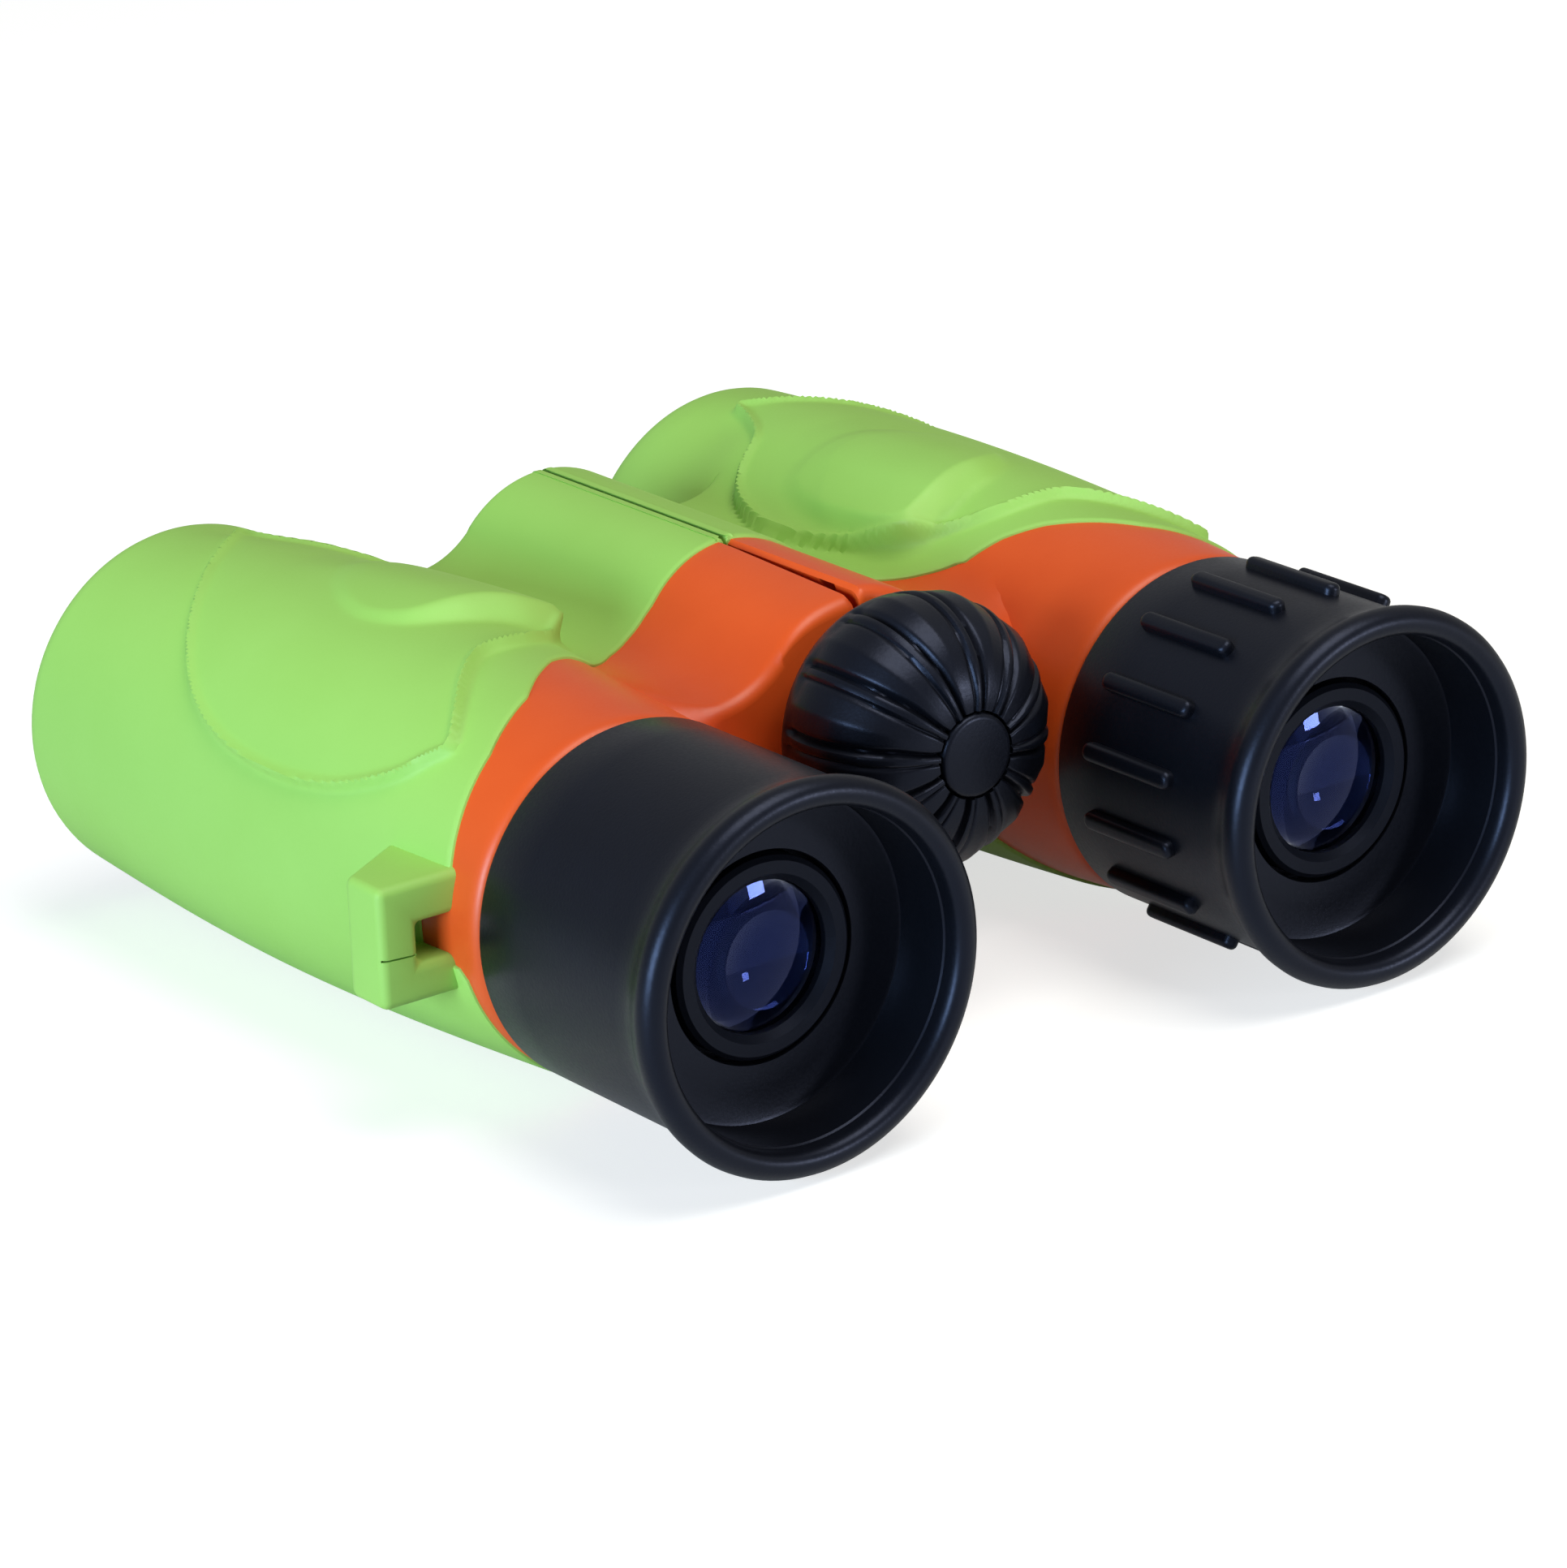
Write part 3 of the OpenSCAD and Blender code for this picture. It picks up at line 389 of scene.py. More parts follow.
def bridge_loop(arcs, stations, cavity):
    """The closed cross-section of the left half's bridge, each point with its arc and share."""
    hump = HUMP_RADIUS - BARE_DEPTH
    first, last = math.asin(CASING_SEAM / hump), arcs[HUMP][3]
    skin = []
    for part, share in stations:
        point, _ = on_half(arcs, part, share, BARE_DEPTH)
        if part == HUMP:
            dx, dz = toward(first + (last - first) * share)
            point = Vector((hump * dx, 0, HINGE_RISE + hump * dz))
        skin.append((part, share, point))
    (x, z), radius, start, end, _ = arcs[BARREL]
    radius, end = radius - ROOT_DEPTH, end - 2 * math.pi
    root = []
    for step in range(ROOT_STEPS + 1):
        dx, dz = toward(start + (end - start) * step / ROOT_STEPS)
        root.append((ROOT, 0.0, Vector((x + radius * dx, 0, z + radius * dz))))
    wall = math.asin(SEAM_UNDERCUT / cavity)
    hollow = []
    for step in range(CAVITY_STEPS + 1):
        dx, dz = toward(SECTOR + (wall - SECTOR) * step / CAVITY_STEPS)
        hollow.append((CAVITY, 0.0, Vector((cavity * dx, 0, HINGE_RISE + cavity * dz))))
    upper = [p for p in skin if p[0] != LOWER_HOLLOW]
    lower = [p for p in skin if p[0] == LOWER_HOLLOW]
    return upper + root + lower + hollow


def casing_bridge(bm, own, seam_drop):
    """Half of the bridge: rounded rear edge, bare behind the armour, hollow for the hinge."""
    stations = []
    for part, steps, first in (
        (HUMP, BRIDGE_HUMP_STEPS, 0), (UPPER_HOLLOW, BRIDGE_UPPER_STEPS, 1),
        (LOWER_HOLLOW, BRIDGE_LOWER_STEPS, 0),
    ):
        stations += [(part, i / steps) for i in range(first, steps + 1)]
    edge = []
    for step in range(EDGE_STEPS, -1, -1):
        turn = math.pi / 2 * step / EDGE_STEPS
        edge.append((EDGE_ROUND * (1 - math.sin(turn)), EDGE_ROUND * (1 - math.cos(turn))))
    cavity = [(BRIDGE_Y, SPINDLE_BORE), (KNUCKLE_Y, SPINDLE_BORE)]
    for i in range(KNUCKLE_COUNT):
        radius = HINGE_BORE if i in own else HINGE_CAVITY
        start = KNUCKLE_Y + KNUCKLE_PITCH * i
        cavity += [(start, radius), (start + KNUCKLE_PITCH, radius)]
    cavity += [
        (start + KNUCKLE_PITCH, HINGE_CAVITY), (CAP_SEAT_Y, HINGE_CAVITY),
        (CAP_SEAT_Y, CAP_BORE), (CASING_END_Y, CAP_BORE),
    ]
    sunk_rows = len(cavity) - 2 - BRIDGE_BARE_ROWS
    rows = len(edge) + len(cavity) - 2
    loops = []
    for row in range(rows + 1):
        step = row - len(edge) + 1
        hollow_y, hollow = cavity[max(0, step)]
        loop = []
        for part, share, point in bridge_loop(half_arcs(MIDDLE_Y), stations, hollow):
            # the rear edge grows rounder where the bridge runs into the barrel
            grow = 1.0
            if part == UPPER_HOLLOW:
                grow += EDGE_GROWTH * float(ease(share, *EDGE_GROWTH_SHARES))
            start = BRIDGE_Y + EDGE_ROUND * grow
            rim = ROOT_RIM_Y if part in (CAVITY, ROOT) else border(part, point) + UNDER_LAP
            depth = BARE_DEPTH
            if row < len(edge):
                forward, drop = edge[row]
                y = BRIDGE_Y + forward * grow
                depth += drop * grow
            elif step <= BRIDGE_BARE_ROWS:
                y = start + (rim - start) * step / BRIDGE_BARE_ROWS
            else:
                y = rim + (CASING_END_Y - rim) * (step - BRIDGE_BARE_ROWS - 1) / sunk_rows
                depth = UNDER_DEPTH
            if part == CAVITY:
                y = hollow_y
            elif part in (UPPER_HOLLOW, LOWER_HOLLOW):
                point, _ = on_half(half_arcs(y), part, share, depth)
            elif part == HUMP:
                lift = (HUMP_RADIUS - depth) / (HUMP_RADIUS - BARE_DEPTH)
                point.z = HINGE_RISE + (point.z - HINGE_RISE) * lift
                slope = seam_drop * max(0.0, 1 - (y - BRIDGE_Y) / SEAM_SLOPE)
                point.z -= slope * float(1 - ease(abs(point.x), *SEAM_REACH))
                near = max(0.0, 1 - (abs(point.x) - CASING_SEAM) / SEAM_ROUND)
                point.z -= SEAM_ROUND * (1 - math.sqrt(max(0.0, 1 - near * near)))
            loop.append(Vector((point.x, y, point.z)))
        loops.append(loop)
    columns = len(loops[0])
    shaped_grid(bm, columns, rows, lambda column, row: loops[row][column % columns])


def casing(own, seam_drop):
    """One whole casing with its own knuckles, built on the left."""
    bm = bmesh.new()
    casing_tube(bm)
    weld(bm)
    bridge = bmesh.new()
    casing_bridge(bridge, own, seam_drop)
    bmesh.ops.remove_doubles(bridge, verts=bridge.verts, dist=MEETING)
    rims = [e for e in bridge.edges if e.is_boundary]
    bmesh.ops.edgeloop_fill(bridge, edges=rims)
    bmesh.ops.recalc_face_normals(bridge, faces=bridge.faces)
    inset = KNUCKLE_RADIUS - KNUCKLE_ROUND
    for i in own:
        start = KNUCKLE_Y + KNUCKLE_PITCH * i + KNUCKLE_GAP
        end = start + KNUCKLE_PITCH - 2 * KNUCKLE_GAP
        ring = (
            (HINGE_BORE, start), (inset, start), (KNUCKLE_RADIUS, start + KNUCKLE_ROUND),
            (KNUCKLE_RADIUS, end - KNUCKLE_ROUND), (inset, end), (HINGE_BORE, end),
        )
        knuckle = bmesh.new()
        turned(knuckle, ring, 0, HINGE_RISE, KNUCKLE_STEPS)
        weld(knuckle)
        joined(bridge, knuckle)
    joined(bm, bridge)
    return bm


set_piece(
    casing(LEFT_KNUCKLES, LEFT_SEAM_DROP), "left_casing_shell", "left_half", "casing_plastic",
    orange_abs, "left_casing",
)
right_casing = casing(RIGHT_KNUCKLES, 0.0)
mirrored(right_casing)
set_piece(
    right_casing, "right_casing_shell", "right_half", "casing_plastic", orange_abs,
    "right_casing",
)

# Armour.
# A cover of lime-green thermoplastic elastomer is moulded over each casing half and grips its
# edges. A medallion stands a little proud on each barrel, with a thumb pad on a low terrace at
# its inner side, a shallow hollow before the pad, and a strap lug moulded on at the outer side.

# outlines of the moulded forms: turn towards the hinge, and y
MEDALLION = (
    (-37.5, 36.2), (-29, 38.0), (-15, 42.2), (-4, 44.8), (8, 45.6), (18, 46.5), (30, 49.0),
    (42, 53.5), (51, 60.0), (53, 68.0), (46, 75.5), (34, 79.0), (22, 81.5), (14, 86.0),
    (9, 89.5), (0, 86.8), (-21, 81.2), (-41, 75.4), (-55, 69.9), (-63, 63.5), (-65.5, 55.3),
    (-62, 47.0), (-53, 40.5), (-44, 37.6),
)
PAD_TERRACE = (
    (-18, 58.5), (-17, 66.0), (-13, 71.5), (-6, 74.8), (2, 75.9), (14, 76.5), (29, 75.6),
    (40, 73.6), (47, 69.5), (50, 64.0), (50, 58.0), (47, 52.6), (39, 49.6), (28, 49.4),
    (16, 50.4), (3, 51.6), (-9, 54.0),
)
THUMB_PAD = (
    (-13, 58.6), (-12, 62.5), (-7.5, 66.3), (0, 69.6), (12, 72.6), (26, 73.0), (37, 71.4),
    (44.5, 66.5), (46.5, 60.0), (44, 53.6), (37.5, 50.4), (28, 50.2), (16, 51.0), (3, 52.2),
    (-8, 54.6),
)
ROUND_MM = 17.5
CURVE_STEPS = 6
NO_LENGTH = 1e-12
NO_RISE = 1e-9


def smooth_loop(points):
    """A closed curve through the points, as (arc length round the barrel, y) corners."""
    flat = [(math.radians(turn) * ROUND_MM, y) for turn, y in points]
    loop = []
    for i in range(len(flat)):
        a, b, c, d = (Vector(flat[(i + k) % len(flat)]) for k in (-1, 0, 1, 2))
        for step in range(CURVE_STEPS):
            t = step / CURVE_STEPS
            loop.append(
                0.5 * (2 * b + (c - a) * t + (2 * a - 5 * b + 4 * c - d) * t * t
                       + (3 * b - a - 3 * c + d) * t**3)
            )
    return numpy.array(loop)


def inside_distance(loop, across, y):
    """Distance of each place from the curve, positive inside it."""
    best = numpy.full(across.shape, numpy.inf)
    inside = numpy.zeros(across.shape, bool)
    for (ax, ay), (bx, by) in zip(loop, numpy.roll(loop, -1, axis=0)):
        dx, dy = bx - ax, by - ay
        length = dx * dx + dy * dy + NO_LENGTH
        t = numpy.clip(((across - ax) * dx + (y - ay) * dy) / length, 0, 1)
        best = numpy.minimum(best, numpy.hypot(across - ax - t * dx, y - ay - t * dy))
        crosses = (ay > y) != (by > y)
        side = ax + (y - ay) * dx / (dy if abs(dy) > NO_RISE else NO_RISE)
        inside ^= crosses & (across < side)
    return numpy.where(inside, best, -best)


# the medallion's step, higher towards the hinge, and the bead along its edge
STEP_HEIGHT, STEP_GAIN, STEP_GAIN_TURNS = 0.5, 0.45, (25, 45)
STEP_SPREAD = (-0.3, 0.35)
BEAD_HEIGHT, BEAD_INSET, BEAD_WIDTH = 0.48, 0.25, 0.45
# the hollow, faded out at both ends and before the front edge
HOLLOW_DEPTH, HOLLOW_Y, HOLLOW_WIDTH = 0.65, 88.0, 4.5
HOLLOW_START_TURNS, HOLLOW_END_TURNS, HOLLOW_FRONT = (0, 24), (58, 78), (92, 95)
# the terrace, with a slope that grows longer towards the front
TERRACE_HEIGHT, TERRACE_TURNS = 0.5, (-18, 10)
TERRACE_SLOPE, TERRACE_SLOPE_GAIN, TERRACE_FRONT = 1.6, 6.4, (60, 70)
# the pad, low at its outer side and its front, and high towards the hinge
PAD_HEIGHT, PAD_GAIN, PAD_GAIN_TURNS = 0.6, 1.3, (-14, 26)
PAD_SLOPE, PAD_SLOPE_GAIN, PAD_SLOPE_TURNS = 1.2, 0.9, (-10, 15)
PAD_FRONT_Y, PAD_FALL = 74, 22
PAD_CROWN, PAD_CROWN_REACH = 0.15, 7
STRAIGHT_SHARE = 0.7


def ramp(distance, width):
    """A rise from 0 to 1 over that width inside a curve: straight, with slightly eased ends."""
    straight = numpy.clip(distance / width, 0, 1)
    return STRAIGHT_SHARE * straight + (1 - STRAIGHT_SHARE) * ease(distance, 0, width)


def relief(turn, y):
    """Height of the moulded forms over the plain barrel; turn in degrees towards the hinge."""
    across = numpy.radians(turn) * ROUND_MM
    edge = inside_distance(smooth_loop(MEDALLION), across, y)
    step = STEP_HEIGHT + STEP_GAIN * ease(turn, *STEP_GAIN_TURNS)
    height = step * ease(edge, *STEP_SPREAD)
    height += BEAD_HEIGHT * numpy.exp(-((edge - BEAD_INSET) / BEAD_WIDTH) ** 2)
    hollow = numpy.exp(-((y - HOLLOW_Y) / HOLLOW_WIDTH) ** 2)
    hollow *= ease(turn, *HOLLOW_START_TURNS) * (1 - ease(turn, *HOLLOW_END_TURNS))
    height -= HOLLOW_DEPTH * hollow * (1 - ease(y, *HOLLOW_FRONT))
    terrace = inside_distance(smooth_loop(PAD_TERRACE), across, y)
    rise = ramp(terrace, TERRACE_SLOPE + TERRACE_SLOPE_GAIN * ease(y, *TERRACE_FRONT))
    height += TERRACE_HEIGHT * ease(turn, *TERRACE_TURNS) * rise
    pad = inside_distance(smooth_loop(THUMB_PAD), across, y)
    bevel = ramp(pad, PAD_SLOPE + PAD_SLOPE_GAIN * ease(turn, *PAD_SLOPE_TURNS))
    dome = PAD_HEIGHT + PAD_GAIN * ease(turn, *PAD_GAIN_TURNS)
    dome *= numpy.clip((PAD_FRONT_Y - y) / PAD_FALL, 0, 1)
    return height + dome * bevel + PAD_CROWN * ease(pad, 0, PAD_CROWN_REACH)


# rounded edges of the cover: depth under the skin, and distance from the edge
BORDER_EDGE = ((1.2, 0.0), (0.38, 0.0), (0.12, 0.1), (0.0, 0.38))
SEAM_EDGE = ((1.2, 0.0), (0.45, 0.0), (0.14, 0.14), (0.0, 0.45))
# depths of the cover's last columns, under the bridge
LOW_EDGE = (0.4, 1.2)
ARMOUR_SEAM = 0.2
COVER_WALL = 0.3
COVER_MEETING = 0.004
SECTION_Y = 60
BARREL_SWEEP = 280.6
RELIEF_SWEEP = 109.0
HUMP_STEPS = 18
UPPER_STEPS = 24
RELIEF_STEPS = 112
PLAIN_STEPS = 48
LOWER_STEPS = 12
BODY_ROWS = 132
END_ROUND = 0.8
END_DEPTH = 2.4
END_STEPS = 5
END_FADE = 0.25
TUBE_ROWS = 32
CLOSING_STEPS = 26
FRONT_ROUND = 2.8
FRONT_STEPS = 9
MOUTH_RADIUS = 13.52
MOUTH_Y = 97.7
MOUTH_END_Y = 93.0


def armour_stations():
    """Columns of the cover: from the seam over the hump, the hollow and round the barrel.
    They lie closer together where the barrel has its moulded forms."""
    top = RELIEF_SWEEP / BARREL_SWEEP
    stations = [(HUMP, i / HUMP_STEPS) for i in range(HUMP_STEPS + 1)]
    stations += [(UPPER_HOLLOW, i / UPPER_STEPS) for i in range(1, UPPER_STEPS)]
    stations += [(BARREL, top * i / RELIEF_STEPS) for i in range(RELIEF_STEPS + 1)]
    stations += [(BARREL, top + (1 - top) * i / PLAIN_STEPS) for i in range(1, PLAIN_STEPS + 1)]
    stations += [(LOWER_HOLLOW, i / LOWER_STEPS) for i in range(1, LOWER_STEPS + 1)]
    return stations


def armour_cover(bm):
    """The bridge stretch and the front stretch of the cover, with the moulded forms on them."""
    stations = armour_stations()
    rows = [("edge", step) for step in BORDER_EDGE]
    rows += [("body", i / BODY_ROWS) for i in range(1, BODY_ROWS + 1)]
    rows += [("end", math.pi / 2 * i / END_STEPS) for i in range(1, END_STEPS + 1)]
    rows += [("wall", None)]
    spots = []

    def spot(base, outward, y, raised):
        turn = math.degrees(math.atan2(base.x + HALF_GAP, base.z))
        spots.append((turn, y, float(raised), outward))
        return Vector((base.x, y, base.z))

    def corner(column, row):
        at_seam = column < len(SEAM_EDGE)
        sink, shift = SEAM_EDGE[column] if at_seam else (0.0, 0.0)
        station = column - len(SEAM_EDGE) + 1
        if station >= len(stations):
            sink = LOW_EDGE[station - len(stations)]
        part, share = stations[min(max(station, 0), len(stations) - 1)]
        kind, value = rows[row]
        rim = border(part, on_half(half_arcs(SECTION_Y), part, share, 0)[0])
        body_y, end_y = rim + BORDER_EDGE[-1][1], BRIDGE_END_Y - END_ROUND
        deep = 0.0
        if kind == "edge":
            deep, y = value[0], rim + value[1]
        elif kind == "body":
            y = body_y + (end_y - body_y) * value
        elif kind == "end":
            deep, y = END_ROUND * (1 - math.cos(value)), end_y + END_ROUND * math.sin(value)
        else:
            deep, y = END_DEPTH, BRIDGE_END_Y
        if kind in ("end", "wall"):
            # the rounded end of the bridge runs out towards the barrel, which goes on
            if part == UPPER_HOLLOW:
                deep *= 1 - float(ease(share, 1 - END_FADE, 1))
            elif part == BARREL:
                deep = 0.0
            elif part == LOWER_HOLLOW:
                deep *= float(ease(share, 0, END_FADE))
        depth = max(deep, sink)
        base, outward = on_half(half_arcs(y), part, share, depth)
        if at_seam:
            radius = HUMP_RADIUS - depth
            dx, dz = toward(math.asin((ARMOUR_SEAM + shift) / radius))
            base = Vector((radius * dx, 0, HINGE_RISE + radius * dz))
        at_skin = kind != "edge" or value == BORDER_EDGE[-1]
        return spot(base, outward, y, at_skin and part in (UPPER_HOLLOW, BARREL))

    columns = len(SEAM_EDGE) - 1 + len(stations) + len(LOW_EDGE)
    corners = shaped_grid(bm, columns - 1, len(rows) - 1, corner)
    _, _, start, end, _ = half_arcs(BRIDGE_END_Y)[BARREL]
    turns = [start + (end - start) * share for part, share in stations if part == BARREL]
    closing = start + 2 * math.pi - end
    turns += [end + closing * i / CLOSING_STEPS for i in range(1, CLOSING_STEPS + 1)]
    length = FRONT_START_Y - BRIDGE_END_Y
    tube_rows = [("body", BRIDGE_END_Y + length * i / TUBE_ROWS) for i in range(TUBE_ROWS + 1)]
    tube_rows += [("round", math.pi / 2 * i / FRONT_STEPS) for i in range(1, FRONT_STEPS + 1)]
    tube_rows += [("mouth", MOUTH_Y), ("mouth", MOUTH_END_Y)]

    def tube_corner(column, row):
        dx, dz = toward(turns[column])
        kind, value = tube_rows[row]
        if kind == "body":
            radius, y = barrel_radius(value), value
        elif kind == "round":
            radius = FRONT_RADIUS - FRONT_ROUND * (1 - math.cos(value))
            y = FRONT_START_Y + FRONT_ROUND * math.sin(value)
        else:
            radius, y = MOUTH_RADIUS, value
        base = Vector((-HALF_GAP + radius * dx, 0, radius * dz))
        return spot(base, Vector((dx, 0, dz)), y, kind == "body")

    corners += shaped_grid(bm, len(turns) - 1, len(tube_rows) - 1, tube_corner)
    around, along, raised = (numpy.array([s[i] for s in spots]) for i in range(3))
    heights = relief(around, along) * raised
    for vertex, (_, _, _, outward), height in zip(corners, spots, heights):
        vertex.co += outward * float(height)


LUG_OUTER = -54.0
LUG_ROOT = -44.0
LUG_Y = 29.5
LUG_LENGTH = 5.0
LUG_FLARE = 0.6
LUG_TOP = 5.6
LUG_LOW = -5.2
LUG_ROUND = 0.8
SLOT_OUTER = -50.2
SLOT_HALF = 1.8
SLIT_Z = -0.9
SLIT_HALF = 0.09
SLIT_DEPTH = 1.2
SLIT_TILT = 0.06
FACES_REAR = -0.6


def strap_lug():
    """The lug: a loop open towards the casing, with a rounded edge and a slit at its rear."""
    bm = bmesh.new()
    outline = (
        (LUG_OUTER, LUG_LOW), (LUG_ROOT, LUG_LOW), (LUG_ROOT, -SLOT_HALF),
        (SLOT_OUTER, -SLOT_HALF), (SLOT_OUTER, SLOT_HALF), (LUG_ROOT, SLOT_HALF),
        (LUG_ROOT, LUG_TOP), (LUG_OUTER, LUG_TOP),
    )
    face = bm.faces.new([bm.verts.new((x, LUG_Y, z)) for x, z in outline])
    made = bmesh.ops.extrude_face_region(bm, geom=[face])["geom"]
    for corner in made:
        if isinstance(corner, bmesh.types.BMVert):
            corner.co.y += LUG_LENGTH + (corner.co.x - LUG_OUTER) * LUG_FLARE
    bmesh.ops.recalc_face_normals(bm, faces=bm.faces)
    bmesh.ops.bevel(
        bm, geom=bm.edges[:], offset=LUG_ROUND, segments=5, profile=0.5, affect="EDGES",
        material=-1,
    )
    across = Vector((SLIT_TILT, 0, 1)).normalized()
    for side in (-1, 1):
        bmesh.ops.bisect_plane(
            bm, geom=bm.verts[:] + bm.edges[:] + bm.faces[:], plane_no=across,
            plane_co=Vector((SLOT_OUTER, LUG_Y, SLIT_Z + side * SLIT_HALF)),
        )
    middle = Vector((SLOT_OUTER, LUG_Y, SLIT_Z))
    slit = []
    for face in bm.faces:
        centre = face.calc_center_median()
        within = abs((centre - middle).dot(across)) < SLIT_HALF
        if within and centre.x < SLOT_OUTER and face.normal.y < FACES_REAR:
            slit.append(face)
    made = bmesh.ops.extrude_face_region(bm, geom=slit)["geom"]
    bmesh.ops.delete(bm, geom=slit, context="FACES_ONLY")
    sunk = [g for g in made if isinstance(g, bmesh.types.BMVert)]
    bmesh.ops.translate(bm, vec=(0, SLIT_DEPTH, 0), verts=sunk)
    bmesh.ops.recalc_face_normals(bm, faces=bm.faces)
    return bm


def thickened(bm, wall):
    """Closes an open sheet into a shell with that wall, inwards."""
    bm.normal_update()
    outer, rims = bm.verts[:], [e for e in bm.edges if e.is_boundary]
    copy = bmesh.ops.duplicate(bm, geom=bm.verts[:] + bm.edges[:] + bm.faces[:])
    twin = copy["vert_map"]
    for vertex in outer:
        twin[vertex].co = vertex.co - vertex.normal * wall
    for edge in rims:
        a, b = edge.verts
        bm.faces.new((a, b, twin[b], twin[a]))
    bmesh.ops.recalc_face_normals(bm, faces=bm.faces)


def armour():
    """One whole cover, built on the left."""
    bm = bmesh.new()
    armour_cover(bm)
    bmesh.ops.remove_doubles(bm, verts=bm.verts, dist=COVER_MEETING)
    bmesh.ops.recalc_face_normals(bm, faces=bm.faces)
    thickened(bm, COVER_WALL)
    joined(bm, strap_lug())
    return bm


# Thermoplastic elastomer off a matt mould: soft sheen, no clear highlight, a fine even grain,
# and a slightly uneven green where the melt has flowed.
green_elastomer, tree, shader = new_material("moulded_green_elastomer")
place = add(tree, "ShaderNodeTexCoord").outputs["Object"]
flow = add(tree, "ShaderNodeTexNoise", {"Vector": place, "Scale": per_metre(14), "Detail": 3.0})
tint = add(tree, "ShaderNodeValToRGB", {"Fac": flow.outputs["Fac"]})
tint.color_ramp.elements[0].color = linear("#9CCF5D")
tint.color_ramp.elements[1].color = linear("#A5D869")
tree.links.new(tint.outputs["Color"], shader.inputs["Base Color"])
# the grain is about 0.15 mm on the real moulding, drawn at 0.35 mm so that it shows
grain = add(tree, "ShaderNodeTexNoise", {"Vector": place, "Scale": per_metre(0.35), "Detail": 2.0})
gloss = add(
    tree, "ShaderNodeMapRange",
    {"Value": grain.outputs["Fac"], "To Min": 0.52, "To Max": 0.66},
)
tree.links.new(gloss.outputs["Result"], shader.inputs["Roughness"])
bump = add(
    tree, "ShaderNodeBump",
    {"Height": grain.outputs["Fac"], "Strength": 0.3, "Distance": 0.00003},
)
tree.links.new(bump.outputs["Normal"], shader.inputs["Normal"])
shader.inputs["IOR"].default_value = 1.49

set_piece(
    armour(), "left_armour_cover", "left_half", "armour_rubber", green_elastomer, "left_armour",
)
right_armour = armour()
mirrored(right_armour)
set_piece(
    right_armour, "right_armour_cover", "right_half", "armour_rubber", green_elastomer,
    "right_armour",
)

# Eyecups.
# Black rubber sleeves pushed over the eyepiece rings, each with a rolled rim for the eye socket.
# The right one turns with the dioptre ring and has sixteen grip ribs.
# The section is (radius, y), from the front edge over the rim to the seat of the eye ring.
EYECUP = (
    (14.6, 25.6), (15.55, 25.6), (15.85, 25.5), (16.0, 25.2), (16.0, 20.0), (16.0, 13.0),
    (16.0, 6.4), (16.05, 5.0), (16.22, 4.0), (16.5, 3.25), (16.83, 2.6), (17.06, 2.05),
    (17.15, 1.5), (17.08, 0.98), (16.86, 0.52), (16.52, 0.2), (16.1, 0.03), (15.65, 0.0),
    (15.25, 0.1), (14.95, 0.32), (14.75, 0.65), (14.66, 1.1), (14.64, 1.9), (14.5, 2.05),
    (14.5, 4.5), (14.5, 7.3), (14.4, 7.62), (14.1, 7.72), (11.5, 7.7), (9.3, 7.7),
    (9.2, 7.85), (9.2, 9.0), (14.6, 9.0),
)
SLEEVE_RADIUS = 16.0
SLEEVE_STEPS = 128
RIB_COUNT = 16
RIB_START_Y = 10.0
RIB_LENGTH = 11.5
RIB_WIDTH = 1.7
RIB_HEIGHT = 2.2
RIB_SINK = 0.1
RIB_END_ROUND = 0.8
RIB_TOP_ROUND = 0.55


def sleeve():
    """A plain sleeve, built on the left."""
    bm = bmesh.new()
    turned(bm, EYECUP, -HALF_GAP, 0, SLEEVE_STEPS)
    weld(bm)
    return bm


def ribs(bm):
    """The grip ribs: bars with round ends and tops, half sunk in the sleeve."""
    for i in range(RIB_COUNT):
        rib = bmesh.new()
        bmesh.ops.create_cube(rib, size=1.0)
        bmesh.ops.scale(rib, vec=(RIB_WIDTH, RIB_LENGTH, RIB_HEIGHT), verts=rib.verts)
        upright = [e for e in rib.edges if abs(e.verts[0].co.z - e.verts[1].co.z) > RIB_HEIGHT / 2]
        bmesh.ops.bevel(
            rib, geom=upright, offset=RIB_END_ROUND, segments=5, profile=0.5, affect="EDGES",
            material=-1,
        )
        top = [e for e in rib.edges if min(v.co.z for v in e.verts) > 0]
        bmesh.ops.bevel(
            rib, geom=top, offset=RIB_TOP_ROUND, segments=4, profile=0.5, affect="EDGES",
            material=-1,
        )
        lift = Matrix.Translation((0, RIB_START_Y + RIB_LENGTH / 2, SLEEVE_RADIUS - RIB_SINK))
        turn = Matrix.Rotation(2 * math.pi * (i + 0.5) / RIB_COUNT, 4, "Y")
        to_axis = Matrix.Translation((-HALF_GAP, 0, 0))
        bmesh.ops.transform(rib, matrix=to_axis @ turn @ lift, verts=rib.verts)
        bmesh.ops.recalc_face_normals(rib, faces=rib.faces)
        joined(bm, rib)


# Black moulded rubber: very dark with a cold cast, matt on the flats and with a broad soft
# highlight along rolled edges.
black_rubber, tree, shader = new_material("moulded_black_rubber")
place = add(tree, "ShaderNodeTexCoord").outputs["Object"]
cloud = add(tree, "ShaderNodeTexNoise", {"Vector": place, "Scale": per_metre(6), "Detail": 4.0})
tint = add(tree, "ShaderNodeValToRGB", {"Fac": cloud.outputs["Fac"]})
tint.color_ramp.elements[0].color = linear("#08090E")
tint.color_ramp.elements[1].color = linear("#0E1017")
tree.links.new(tint.outputs["Color"], shader.inputs["Base Color"])
